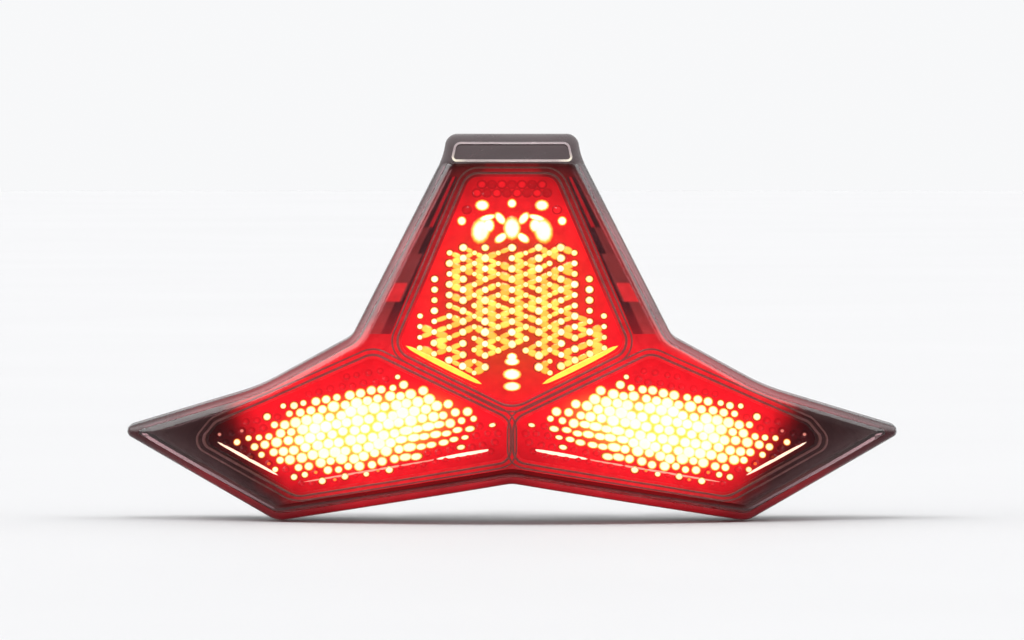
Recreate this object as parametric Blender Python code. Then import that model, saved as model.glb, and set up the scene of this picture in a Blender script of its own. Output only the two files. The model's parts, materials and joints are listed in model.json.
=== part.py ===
"""Integrated LED tail light for a sport motorcycle, as an assembly of separate pieces.

X runs across the motorcycle, +Y forwards and +Z up, so the lens faces -Y. The origin is under
the middle of the light, level with the lowest point of its lens. Every piece of the front
follows one curved face, which leans forward with height and sweeps forward to each side.
"""
import math

import bmesh
import bpy
from mathutils import Matrix, Vector
from mathutils.geometry import delaunay_2d_cdt, intersect_point_line

# Driving dimensions, in metres
GAP = 0.0003                # clearance between pieces that touch
FACET_GAP = 0.0014          # the same between curved pieces, whose facets differ
REAR_Y = -0.0747            # rearmost point of the lens
HALF_WIDTH = 0.120          # middle of the light to a wing tip
CREASE_Z = 0.109            # height of the crease across the top of the lens
LEAN_START_Z = 0.020        # below this height the face is at its steepest
LEAN_END_Z = 0.062          # above this height the stem leans back evenly
LOW_SLOPE = 0.45            # forward lean per unit of height, low on the face
STEM_SLOPE = 0.97           # the same on the stem
TOP_SLOPE = 2.3             # the same above the crease
SWEEP_DEPTH = 0.045         # how far the wing tips lie in front of the middle
SWEEP_POWER = 1.6

LENS_SKIRT = 0.014          # depth of the lens from its face to its rim
LENS_WALL = 0.0022          # thickness of the skirt
LENS_FACE_WALL = 0.0032     # thickness of the face, measured along Y
LENS_ROUND = 0.0050         # rounding between the face and the skirt, outside
LENS_INNER_ROUND = 0.0040   # the same inside
SEAL_INSET = 0.0004         # seal inside the rim of the lens
SEAL_WIDTH = 0.0020
BEZEL_INSET = 0.0030        # bezel inside the outline of the lens
BEZEL_FACE = 0.0068         # depth of the bezel behind the lens face
BEZEL_EDGE = 0.0010         # bevel round the bezel
BEZEL_WALL = 0.0016
BEZEL_SKIRT_WALL = 0.0012
OPTIC_FACE = BEZEL_FACE + BEZEL_WALL + FACET_GAP
OPTIC_WALL = 0.0025
OPTIC_LIP = 0.0012          # overlap of an optic behind its window
REFLECTOR_WALL = 0.0012
REFLECTOR_MARGIN = 0.0010   # front mouth of a light box beyond its window
REFLECTOR_SCALE = 0.52      # rear mouth of a light box, as a share of its window
BOARD_SCALE = 0.92          # outline of a board, as a share of its window
BOARD_WALL = 0.0016
BOARD_GAP = 0.0004          # clearance along Y in front of a sloping board
BOARD_SCREW_LENGTH = 0.0076
BOARD_SCREW_HEAD = 0.0019   # radius of its head
LED_HALF_WIDTH = 0.0020     # middle of an LED package to its corner
LED_DOME = 0.0012           # radius of its dome
RIM_FACE = 0.0165           # depth of the housing rim behind the lens face
RIM_WALL = 0.0025           # thickness of the housing's flange under the seal
HOUSING_DEPTH = 0.040       # depth of the housing's back behind the lens face
TIP_DEPTH = 0.030           # the same at the wing tips
TIP_START = 0.070           # the back starts to rise here, on its way to the tips
TIP_RUN = 0.045
FLOOR_WALL = 0.003
POST_RADIUS = 0.003
POST_BORE = 0.0068          # depth of the pilot hole in a screw post
PILOT_RADIUS = 0.00155

TAB_WALL = 0.004
TAB_HALF_WIDTH = 0.011
TAB_HOLE_RADIUS = 0.006
TAB_REACH = 0.020           # hole centre in front of the housing's back
RIB_WALL = 0.0025
RIB_OFFSET = 0.008          # middle of a tab to each rib below it
RIB_DROP = 0.014            # height of a rib at its root
RIB_END = 0.0105            # end of a rib behind the hole centre
GROMMET_LIP = 0.0088        # radius of its lips
COLLAR_RADIUS = 0.0040
COLLAR_FLANGE = 0.0080      # radius of its flange
MOUNT_SCREW_RADIUS = 0.0030
MOUNT_SCREW_FLANGE = 0.0072
MOUNT_SCREW_HEX = 0.0056    # radius to the corners of its hexagon
MOUNT_SCREW_END = 0.0140    # end of its shank below the tab's mid thickness

CABLE_BORE_RADIUS = 0.0032
CABLE_HOLE_RADIUS = 0.0050
CABLE_SEAT_RADIUS = 0.0085
CABLE_SEAT_INNER = 0.0078   # reach of the seat into the housing
CABLE_SEAT_OUTER = 0.0052   # reach of the seat out of its back
VENT_HOLE_RADIUS = 0.0030
VENT_SEAT_RADIUS = 0.0055
VENT_SEAT_INNER = 0.0064
VENT_SEAT_OUTER = 0.0044

EDGE_STEP = 0.012           # longest straight piece of an outline
FILL_STEP = 0.011           # spacing of points inside a curved face
ARC_STEPS = 3
ROUND = 18                  # sides of a large round piece
SMALL_ROUND = 8             # sides of a small round piece

# Corners of the right half of each outline: x, z and corner radius, from the bottom up
LENS_CORNERS = [
    (0.0, 0.012, 0.010),
    (0.072, 0.0, 0.007),
    (0.1225, 0.0268, 0.002),
    (0.078, 0.0405, 0.060),
    (0.0495, 0.056, 0.006),
    (0.0216, 0.111, 0.020),
    (0.0205, 0.118, 0.005),
]
STEM_CORNERS = [
    (0.0, 0.035, 0.008),
    (0.035, 0.052, 0.004),
    (0.013, 0.104, 0.004),
]
WING_CORNERS = [
    (0.0016, 0.0190, 0.003),
    (0.0655, 0.0080, 0.006),
    (0.0944, 0.0232, 0.003),
    (0.0905, 0.0280, 0.003),
    (0.0425, 0.0490, 0.005),
    (0.0016, 0.0300, 0.004),
]
STEM_CENTRE = (0.0, 0.068)
WING_CENTRE = (0.046, 0.029)

# Boards are flat: y = level + across * |x| + rise * z, from the rearmost point of the lens
STEM_PLANE = (0.0044, 0.0, STEM_SLOPE)
WING_PLANE = (0.0164, 0.34, 0.53)

# Places on the boards: x and z
STEM_LED_ROWS = [(0.0830, 0.0055), (0.0745, 0.0075), (0.0660, 0.0095), (0.0575, 0.0112)]
WING_LEDS = [(0.0290, 0.0270), (0.0375, 0.0305), (0.0455, 0.0250), (0.0535, 0.0315), (0.0610, 0.0265)]
STEM_SCREWS = [(0.0, 0.0970), (-0.0275, 0.0545), (0.0275, 0.0545)]
WING_SCREWS = [(0.0095, 0.0262), (0.0855, 0.0262)]

# Mounting tabs: x, z of the tab's mid thickness, and name
TABS = [("top", 0.0, 0.095), ("left", -0.052, 0.036), ("right", 0.052, 0.036)]
CABLE_SEAT = (0.0, 0.032)
VENT_SEAT = (-0.034, 0.020)

COLOURS = {
    "smoked_lens": ((0.16, 0.012, 0.016), 0.06, 0.0),
    "seal_rubber": ((0.02, 0.02, 0.022), 0.75, 0.0),
    "housing_plastic": ((0.035, 0.035, 0.038), 0.55, 0.0),
    "dark_bezel": ((0.11, 0.035, 0.045), 0.25, 0.3),
    "red_optic": ((0.80, 0.015, 0.02), 0.15, 0.0),
    "reflector_metal": ((0.85, 0.85, 0.87), 0.12, 1.0),
    "board_green": ((0.02, 0.12, 0.05), 0.45, 0.0),
    "led_white": ((0.95, 0.80, 0.45), 0.30, 0.0),
    "screw_steel": ((0.45, 0.45, 0.47), 0.30, 1.0),
    "black_epoxy": ((0.02, 0.02, 0.02), 0.50, 0.0),
    "capacitor_can": ((0.70, 0.70, 0.72), 0.30, 1.0),
    "header_plastic": ((0.80, 0.78, 0.70), 0.50, 0.0),
    "lead_jacket": ((0.50, 0.02, 0.02), 0.50, 0.0),
    "collar_steel": ((0.60, 0.60, 0.58), 0.35, 1.0),
}


def clear_scene():
    for item in list(bpy.data.objects):
        bpy.data.objects.remove(item, do_unlink=True)


def material(name):
    """Principled material from the colour table"""
    found = bpy.data.materials.get(name)
    if found:
        return found
    colour, roughness, metallic = COLOURS[name]
    made = bpy.data.materials.new(name)
    made.use_nodes = True
    shader = made.node_tree.nodes["Principled BSDF"]
    shader.inputs["Base Color"].default_value = (*colour, 1.0)
    shader.inputs["Roughness"].default_value = roughness
    shader.inputs["Metallic"].default_value = metallic
    return made


# ---- the curved face ----

def lean(z, top_slope):
    """Forward lean of the face's middle line at height z"""
    straight = min(z, LEAN_END_Z)
    blend = max(straight - LEAN_START_Z, 0.0)
    bend = (STEM_SLOPE - LOW_SLOPE) / (LEAN_END_Z - LEAN_START_Z)
    stem = max(z - LEAN_END_Z, 0.0)
    top = max(z - CREASE_Z, 0.0)
    low_part = LOW_SLOPE * straight + bend * blend * blend / 2
    return low_part + STEM_SLOPE * stem + (top_slope - STEM_SLOPE) * top


def sweep(x):
    """Forward sweep of the wings"""
    return SWEEP_DEPTH * (abs(x) / HALF_WIDTH) ** SWEEP_POWER


def face(depth):
    """Height function of the surface that lies depth behind the lens face"""
    return lambda x, z: REAR_Y + lean(z, TOP_SLOPE) + sweep(x) + depth


def back(offset):
    """Height function of the housing's back, moved by offset"""
    def height(x, z):
        taper = min(max((abs(x) - TIP_START) / TIP_RUN, 0.0), 1.0)
        depth = HOUSING_DEPTH + (TIP_DEPTH - HOUSING_DEPTH) * taper
        return REAR_Y + lean(z, STEM_SLOPE) + sweep(x) + depth + offset
    return height


def board_plane(plane, offset):
    """Height function of a flat board, moved along Y by offset"""
    level, across, rise = plane
    return lambda x, z: REAR_Y + level + across * abs(x) + rise * z + offset


def plane_normal(plane, side):
    """Unit normal of a board that points to the back of the light"""
    return Vector((-plane[1] * side, 1.0, -plane[2])).normalized()


# ---- outlines in the XZ plane ----

def mirrored(half):
    """Full outline from the corners of its right half"""
    return half + [(-x, z, radius) for x, z, radius in reversed(half) if x > 0]


def on_side(corners, side):
    """The same outline on the right (side 1) or the left (side -1)"""
    if side > 0:
        return corners
    return [(-x, z, radius) for x, z, radius in reversed(corners)]


def inset_corners(corners, inset):
    """Move every edge of an anticlockwise outline inwards by inset"""
    moved = []
    count = len(corners)
    for index, (x, z, radius) in enumerate(corners):
        here = Vector((x, z))
        before = (here - Vector(corners[index - 1][:2])).normalized()
        after = (Vector(corners[(index + 1) % count][:2]) - here).normalized()
        normals = Vector((-before.y - after.y, before.x + after.x))
        place = here + normals * (inset / (1 + before.dot(after)))
        bends_in = before.x * after.y - before.y * after.x < 0
        new_radius = radius + inset if bends_in else radius - inset
        moved.append((place.x, place.y, max(new_radius, 0.0008)))
    return moved


def outline(corners, inset=0.0):
    """Closed loop of points along an outline with rounded corners, moved inwards by inset"""
    moved = inset_corners(corners, inset)
    count = len(moved)
    arcs = []
    for index, (x, z, radius) in enumerate(moved):
        here = Vector((x, z))
        before = Vector(moved[index - 1][:2]) - here
        after = Vector(moved[(index + 1) % count][:2]) - here
        half_angle = before.angle(after) / 2
        reach = min(radius / math.tan(half_angle), 0.45 * before.length, 0.45 * after.length)
        start = here + before.normalized() * reach
        end = here + after.normalized() * reach
        middle = (before.normalized() + after.normalized()).normalized()
        centre = here + middle * (reach / math.cos(half_angle))
        arc = []
        for step in range(ARC_STEPS + 1):
            share = step / ARC_STEPS
            ray = start.lerp(end, share) - centre
            arc.append(centre + ray.normalized() * (start - centre).length)
        arcs.append(arc)
    points = []
    for index, arc in enumerate(arcs):
        points += arc
        gap_start = Vector(corners[index][:2])
        gap_end = Vector(corners[(index + 1) % count][:2])
        pieces = max(1, math.ceil((gap_end - gap_start).length / EDGE_STEP))
        next_start = arcs[(index + 1) % count][0]
        points += [arc[-1].lerp(next_start, piece / pieces) for piece in range(1, pieces)]
    return [(point.x, point.y) for point in points]


def scaled(loop, centre, share):
    """A loop shrunk towards a centre"""
    return [(centre[0] + (x - centre[0]) * share, centre[1] + (z - centre[1]) * share) for x, z in loop]


def inside(x, z, loops):
    """Whether a point lies inside the first loop and outside the others, by crossings"""
    crossed = False
    for loop in loops:
        for (x1, z1), (x2, z2) in zip(loop, loop[1:] + loop[:1]):
            if (z1 > z) != (z2 > z) and x < x1 + (z - z1) * (x2 - x1) / (z2 - z1):
                crossed = not crossed
    return crossed


def edge_distance(x, z, loops):
    """Distance from a point to the nearest edge of the loops"""
    nearest = HALF_WIDTH
    point = Vector((x, z))
    for loop in loops:
        for start, end in zip(loop, loop[1:] + loop[:1]):
            foot, share = intersect_point_line(point, Vector(start), Vector(end))
            if 0 <= share <= 1:
                nearest = min(nearest, (Vector(foot[:2]) - point).length)
            nearest = min(nearest, (Vector(start) - point).length)
    return nearest


def inner_points(loops, spacing):
    """Grid points well inside a region"""
    across = int(HALF_WIDTH / spacing)
    points = []
    for column in range(-across, across + 1):
        for row in range(across):
            x = column * spacing
            z = (row + 0.5) * spacing
            if inside(x, z, loops) and edge_distance(x, z, loops) > spacing * 0.45:
                points.append((x, z))
    return points


# ---- closed bodies ----

def finish(bm, name, finish_name, place=None):
    """Make an object of a closed bmesh, with its faces pointing out"""
    bmesh.ops.recalc_face_normals(bm, faces=bm.faces)
    if bm.calc_volume(signed=True) < 0:
        bmesh.ops.reverse_faces(bm, faces=bm.faces)
    mesh = bpy.data.meshes.new(name)
    bm.to_mesh(mesh)
    bm.free()
    mesh.shade_smooth()
    mesh.set_sharp_from_angle(angle=math.radians(32))
    mesh.materials.append(material(finish_name))
    made = bpy.data.objects.new(name, mesh)
    bpy.context.scene.collection.objects.link(made)
    if place is not None:
        made.matrix_world = place
    return made


def bridge(bm, first, second):
    """Band of faces between two rings with as many points"""
    count = len(first)
    for index in range(count):
        following = (index + 1) % count
        bm.faces.new((first[index], first[following], second[following], second[index]))


def inner_faces(faces, borders):
    """Triangles inside the borders: each border crossed on the way in from outside flips the side"""
    users = {}
    for number, corners in enumerate(faces):
        for start, end in zip(corners, corners[1:] + corners[:1]):
            users.setdefault(frozenset((start, end)), []).append(number)
    neighbours = {number: [] for number in range(len(faces))}
    is_inner = {}
    for edge, sharing in users.items():
        if len(sharing) == 1:
            is_inner[sharing[0]] = edge in borders
        else:
            neighbours[sharing[0]].append((sharing[1], edge in borders))
            neighbours[sharing[1]].append((sharing[0], edge in borders))
    queue = list(is_inner)
    while queue:
        number = queue.pop()
        for other, crosses in neighbours[number]:
            if other not in is_inner:
                is_inner[other] = is_inner[number] != crosses
                queue.append(other)
    return [corners for number, corners in enumerate(faces) if is_inner[number]]


def cap(bm, rings, height, spacing):
    """Fill the region inside the first ring and outside the others with triangles"""
    loops = [[(vert.co.x, vert.co.z) for vert in ring] for ring in rings]
    verts = [vert for ring in rings for vert in ring]
    edges = []
    for ring in rings:
        start = len(edges)
        edges += [(start + index, start + (index + 1) % len(ring)) for index in range(len(ring))]
    flat = [Vector((vert.co.x, vert.co.z)) for vert in verts]
    if spacing:
        for x, z in inner_points(loops, spacing):
            flat.append(Vector((x, z)))
            verts.append(bm.verts.new((x, height(x, z), z)))
    _, _, faces, sources, _, _ = delaunay_2d_cdt(flat, edges, [], 0, 1e-7, True)
    faces = [[sources[corner][0] for corner in corners] for corners in faces]
    for corners in inner_faces(faces, {frozenset(edge) for edge in edges}):
        bm.faces.new([verts[corner] for corner in corners])


def ring_verts(bm, loop, height):
    return [bm.verts.new((x, height(x, z), z)) for x, z in loop]


def stack(name, finish_name, rings, holes=(), spacing=None):
    """Closed body from (loop, height) rings, filled across its first and last ring

    Each hole is itself a list of such rings, from the first filled face to the last.
    """
    bm = bmesh.new()
    walls = [[ring_verts(bm, loop, height) for loop, height in rings]]
    walls += [[ring_verts(bm, loop, height) for loop, height in hole] for hole in holes]
    for wall in walls:
        for first, second in zip(wall, wall[1:]):
            bridge(bm, first, second)
    cap(bm, [wall[0] for wall in walls], rings[0][1], spacing)
    cap(bm, [wall[-1] for wall in walls], rings[-1][1], spacing)
    return finish(bm, name, finish_name)


def band(name, finish_name, rings):
    """Closed body that runs round a loop: its last ring joins its first"""
    bm = bmesh.new()
    made = [ring_verts(bm, loop, height) for loop, height in rings]
    for first, second in zip(made, made[1:] + made[:1]):
        bridge(bm, first, second)
    return finish(bm, name, finish_name)


def polygon_point(radius, sides, angle):
    """Point of a regular polygon with this radius to its corners, at an angle"""
    step = 2 * math.pi / sides
    from_middle = (angle % step) - step / 2
    distance = radius * math.cos(step / 2) / math.cos(from_middle)
    return distance * math.cos(angle), distance * math.sin(angle)


def turned(name, finish_name, profile, count, place, bored=False):
    """Round body from (radius, height) or (radius, height, sides) rows along its own Z

    A bored body's last row joins its first. Otherwise both ends are filled.
    """
    bm = bmesh.new()
    rings = []
    for row in profile:
        sides = row[2] if len(row) > 2 else count
        spots = [polygon_point(row[0], sides, 2 * math.pi * index / count) for index in range(count)]
        rings.append([bm.verts.new((x, y, row[1])) for x, y in spots])
    for first, second in zip(rings, rings[1:]):
        bridge(bm, first, second)
    if bored:
        bridge(bm, rings[-1], rings[0])
    else:
        bm.faces.new(rings[0])
        bm.faces.new(rings[-1])
    return finish(bm, name, finish_name, place)


def prism(name, finish_name, points, thickness, place):
    """Flat outline in its own XY plane, extruded both ways along its own Z"""
    bm = bmesh.new()
    low = [bm.verts.new((x, y, -thickness / 2)) for x, y in points]
    high = [bm.verts.new((x, y, thickness / 2)) for x, y in points]
    bridge(bm, low, high)
    bm.faces.new(low)
    bm.faces.new(high)
    return finish(bm, name, finish_name, place)


def combine(target, tool, operation):
    """Join a tool shape to the target, or cut it away"""
    step = target.modifiers.new(tool.name, "BOOLEAN")
    step.operation = operation
    step.solver = "EXACT"
    step.object = tool
    tool.hide_render = True
    tool.display_type = "WIRE"


def aligned(place, direction):
    """Matrix that puts a piece's own Z along a direction at a place"""
    turn = Vector((0, 0, 1)).rotation_difference(direction)
    return Matrix.Translation(place) @ turn.to_matrix().to_4x4()


# ---- the lit faces ----

def light_units():
    """Name, side, window corners, centre, board plane and screw places of the three lit faces"""
    units = [("center", 1, mirrored(STEM_CORNERS), STEM_CENTRE, STEM_PLANE, STEM_SCREWS)]
    for name, side in (("left", -1), ("right", 1)):
        centre = (WING_CENTRE[0] * side, WING_CENTRE[1])
        screws = [(x * side, z) for x, z in WING_SCREWS]
        units.append((name, side, on_side(WING_CORNERS, side), centre, WING_PLANE, screws))
    return units


def board_point(plane, x, z, offset):
    """Point on a board, moved along Y by offset from its front"""
    return Vector((x, board_plane(plane, offset)(x, z), z))


def board_thickness(plane):
    """Thickness of a board along Y"""
    return BOARD_WALL * math.sqrt(1 + plane[1] ** 2 + plane[2] ** 2)


def outer_lens():
    lens = mirrored(LENS_CORNERS)
    shoulder = LENS_ROUND * (1 - math.sin(math.radians(45)))
    rings = [
        (outline(lens, LENS_ROUND), face(0.0)),
        (outline(lens, shoulder), face(shoulder)),
        (outline(lens), face(LENS_ROUND)),
        (outline(lens), face(LENS_SKIRT)),
        (outline(lens, LENS_WALL), face(LENS_SKIRT)),
        (outline(lens, LENS_WALL), face(LENS_FACE_WALL + LENS_INNER_ROUND)),
        (outline(lens, LENS_WALL + LENS_INNER_ROUND), face(LENS_FACE_WALL)),
    ]
    stack("outer_lens", "smoked_lens", rings, spacing=FILL_STEP)


def lens_seal():
    lens = mirrored(LENS_CORNERS)
    inner = SEAL_INSET + SEAL_WIDTH
    front = face(LENS_SKIRT + GAP)
    rear = face(RIM_FACE - GAP)
    corners = ((SEAL_INSET, front), (SEAL_INSET, rear), (inner, rear), (inner, front))
    band("lens_seal", "seal_rubber", [(outline(lens, inset), height) for inset, height in corners])


def inner_bezel():
    lens = mirrored(LENS_CORNERS)
    skirt_end = face(RIM_FACE - GAP)
    inner = BEZEL_INSET + BEZEL_SKIRT_WALL
    rings = [
        (outline(lens, BEZEL_INSET + BEZEL_EDGE), face(BEZEL_FACE)),
        (outline(lens, BEZEL_INSET), face(BEZEL_FACE + BEZEL_EDGE)),
        (outline(lens, BEZEL_INSET), skirt_end),
        (outline(lens, inner), skirt_end),
        (outline(lens, inner), face(BEZEL_FACE + BEZEL_WALL)),
    ]
    windows = []
    for _, _, corners, _, _, _ in light_units():
        edge = outline(corners)
        windows.append([(edge, face(BEZEL_FACE)), (edge, face(BEZEL_FACE + BEZEL_WALL))])
    stack("inner_bezel", "dark_bezel", rings, windows, FILL_STEP)


def optic(name, corners):
    edge = outline(corners, -OPTIC_LIP)
    rings = [(edge, face(OPTIC_FACE)), (edge, face(OPTIC_FACE + OPTIC_WALL))]
    stack(name + "_optic", "red_optic", rings, spacing=FILL_STEP)


def reflector(name, corners, centre, plane):
    """Light box between an optic and its board"""
    front = face(OPTIC_FACE + OPTIC_WALL + FACET_GAP)
    rear = board_plane(plane, -BOARD_GAP)
    wide = outline(corners, -REFLECTOR_MARGIN)
    mouth = outline(corners, REFLECTOR_WALL - REFLECTOR_MARGIN)
    narrow = scaled(outline(corners, -REFLECTOR_WALL * 2), centre, REFLECTOR_SCALE)
    opening = scaled(outline(corners), centre, REFLECTOR_SCALE)
    rings = [(wide, front), (narrow, rear), (opening, rear), (mouth, front)]
    band(name + "_reflector", "reflector_metal", rings)


def board(name, side, corners, centre, plane, screws):
    """Flat circuit board with a clearance hole for each of its screws"""
    edge = scaled(outline(corners), centre, BOARD_SCALE)
    rings = [(edge, board_plane(plane, 0.0)), (edge, board_plane(plane, board_thickness(plane)))]
    plate = stack(name + "_board", "board_green", rings)
    normal = plane_normal(plane, side)
    for index, (x, z) in enumerate(screws):
        place = aligned(board_point(plane, x, z, 0.0), normal)
        profile = [(PILOT_RADIUS, -BOARD_WALL), (PILOT_RADIUS, 2 * BOARD_WALL)]
        cutter = turned(f"cut_{name}_board_{index}", "board_green", profile, SMALL_ROUND, place)
        combine(plate, cutter, "DIFFERENCE")


def board_screw(name, index, side, plane, x, z):
    """Pan head screw whose own Z runs from its head into the post behind the board"""
    radius = PILOT_RADIUS - GAP
    head_top = -GAP - 0.0015
    profile = [
        (radius * 0.5, BOARD_SCREW_LENGTH),
        (radius, BOARD_SCREW_LENGTH - radius),
        (radius, -GAP),
        (BOARD_SCREW_HEAD, -GAP),
        (BOARD_SCREW_HEAD, head_top * 0.7),
        (BOARD_SCREW_HEAD * 0.75, head_top),
        (BOARD_SCREW_HEAD * 0.42, head_top, 4),
        (BOARD_SCREW_HEAD * 0.36, head_top * 0.55, 4),
    ]
    place = aligned(board_point(plane, x, z, 0.0), plane_normal(plane, side))
    turned(f"{name}_board_screw_{index}", "screw_steel", profile, SMALL_ROUND, place)


def led(name, side, plane, x, z):
    """Square LED package with a small dome, standing on the front of its board"""
    top = 0.0009
    profile = [
        (LED_HALF_WIDTH, GAP, 4),
        (LED_HALF_WIDTH, top, 4),
        (LED_DOME, top),
        (LED_DOME * 0.85, top + LED_DOME * 0.4),
        (LED_DOME * 0.4, top + LED_DOME * 0.65),
    ]
    place = aligned(board_point(plane, x, z, 0.0), -plane_normal(plane, side))
    turned(name, "led_white", profile, SMALL_ROUND, place)


def lit_faces():
    for name, side, corners, centre, plane, screws in light_units():
        optic(name, corners)
        reflector(name, corners, centre, plane)
        board(name, side, corners, centre, plane, screws)
        for index, (x, z) in enumerate(screws, 1):
            board_screw(name, index, side, plane, x, z)
        if name == "center":
            places = [(offset * step, z) for z, offset in STEM_LED_ROWS for step in (-1, 0, 1)]
        else:
            places = [(x * side, z) for x, z in WING_LEDS]
        for index, (x, z) in enumerate(places, 1):
            led(f"{name}_led_{index}", side, plane, x, z)


# ---- electronics behind the middle board ----

def electronics():
    normal = plane_normal(STEM_PLANE, 1)
    thickness = board_thickness(STEM_PLANE)

    def place(x, z):
        return aligned(board_point(STEM_PLANE, x, z, thickness) + normal * GAP, normal)

    coil = [(0.0034, 0.0), (0.0042, 0.0008), (0.0042, 0.0037), (0.0034, 0.0045)]
    turned("drive_inductor", "black_epoxy", coil, ROUND, place(-0.010, 0.067))
    can = [(0.0030, 0.0), (0.0030, 0.0044), (0.0026, 0.0050)]
    turned("drive_capacitor", "capacitor_can", can, ROUND, place(0.010, 0.067))
    for name, finish_name, width, length, thick, spot in (
        ("control_chip", "black_epoxy", 0.006, 0.005, 0.0016, (0.0, 0.080)),
        ("lead_header", "header_plastic", 0.012, 0.005, 0.0042, (0.0, 0.0555)),
    ):
        corners = [(-width / 2, -length / 2), (width / 2, -length / 2)]
        corners += [(width / 2, length / 2), (-width / 2, length / 2)]
        raised = place(*spot) @ Matrix.Translation((0, 0, thick / 2))
        prism(name, finish_name, corners, thick, raised)


def smooth_route(points, steps):
    """Catmull-Rom curve through the points of a lead"""
    padded = [points[0] * 2 - points[1]] + points + [points[-1] * 2 - points[-2]]
    route = []
    for a, b, c, d in zip(padded, padded[1:], padded[2:], padded[3:]):
        for step in range(steps):
            t = step / steps
            bend = a * 2 - b * 5 + c * 4 - d
            twist = b * 3 - a - c * 3 + d
            route.append((b * 2 + (c - a) * t + bend * t ** 2 + twist * t ** 3) / 2)
    return route + [points[-1]]


def jumper_lead(name, side):
    """Lead from the back of the middle board to the back of a wing board"""
    stem_normal = plane_normal(STEM_PLANE, 1)
    wing_normal = plane_normal(WING_PLANE, side)
    start = board_point(STEM_PLANE, 0.018 * side, 0.052, board_thickness(STEM_PLANE))
    end = board_point(WING_PLANE, 0.024 * side, 0.033, board_thickness(WING_PLANE))
    start += stem_normal * 0.001
    end += wing_normal * 0.001
    loop_out = 0.004
    middle = (start + end) / 2 + Vector((0, 0.006, 0))
    points = [start, start + stem_normal * loop_out, middle, end + wing_normal * loop_out, end]
    curve = bpy.data.curves.new(name, "CURVE")
    curve.dimensions = "3D"
    curve.bevel_depth = 0.0008
    curve.bevel_resolution = 2
    curve.use_fill_caps = True
    route = smooth_route(points, 3)
    spline = curve.splines.new("POLY")
    spline.points.add(len(route) - 1)
    for point, spot in zip(spline.points, route):
        point.co = (*spot, 1.0)
    curve.materials.append(material("lead_jacket"))
    made = bpy.data.objects.new(name, curve)
    bpy.context.scene.collection.objects.link(made)


# ---- the housing ----

def tab_hole(x, z):
    """Centre of the hole in a mounting tab, at the tab's mid thickness"""
    return Vector((x, back(TAB_REACH)(x, z), z))


def tab_plate(name, x, z):
    """Level tab that stands out of the housing's back, with a round end about its hole"""
    hole = tab_hole(x, z)
    root = []
    for step in range(-2, 3):
        spot = x + TAB_HALF_WIDTH * step / 2
        root.append((spot - x, back(-FLOOR_WALL * 0.8)(spot, z) - hole.y))
    end = []
    for step in range(9):
        angle = math.pi * step / 8
        end.append((TAB_HALF_WIDTH * math.cos(angle), TAB_HALF_WIDTH * math.sin(angle)))
    return prism(f"add_{name}_tab", "housing_plastic", root + end, TAB_WALL, Matrix.Translation(hole))


def tab_rib(name, x, z, offset):
    """Upright rib under the root of a tab"""
    spot = x + offset
    low = z - RIB_DROP
    root_high = back(-FLOOR_WALL * 0.6)(spot, z)
    root_low = back(-FLOOR_WALL * 0.6)(spot, low)
    reach = tab_hole(x, z).y - RIB_END
    points = [(root_low, low), (root_high, z), (reach, z), (reach, z - TAB_WALL)]
    frame = Matrix(((0, 0, 1, spot), (1, 0, 0, 0), (0, 1, 0, 0), (0, 0, 0, 1)))
    return prism(f"add_{name}_rib", "housing_plastic", points, RIB_WALL, frame)


def seat(name, radius, spot, inner_reach, outer_reach):
    """Round pad through the housing's back, square to Y"""
    middle = back(0.0)(*spot)
    profile = [(radius, -inner_reach), (radius, outer_reach)]
    place = aligned(Vector((spot[0], middle, spot[1])), Vector((0, 1, 0)))
    return turned(name, "housing_plastic", profile, ROUND, place)


def post_length(plane, x, z, normal):
    """Distance along a board's normal from its back to the middle of the housing's back wall"""
    start = board_point(plane, x, z, 0.0) + normal * BOARD_WALL
    length = 0.0
    while length < HOUSING_DEPTH:
        spot = start + normal * length
        if spot.y > back(-FLOOR_WALL / 2)(spot.x, spot.z):
            break
        length += GAP
    return length


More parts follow.
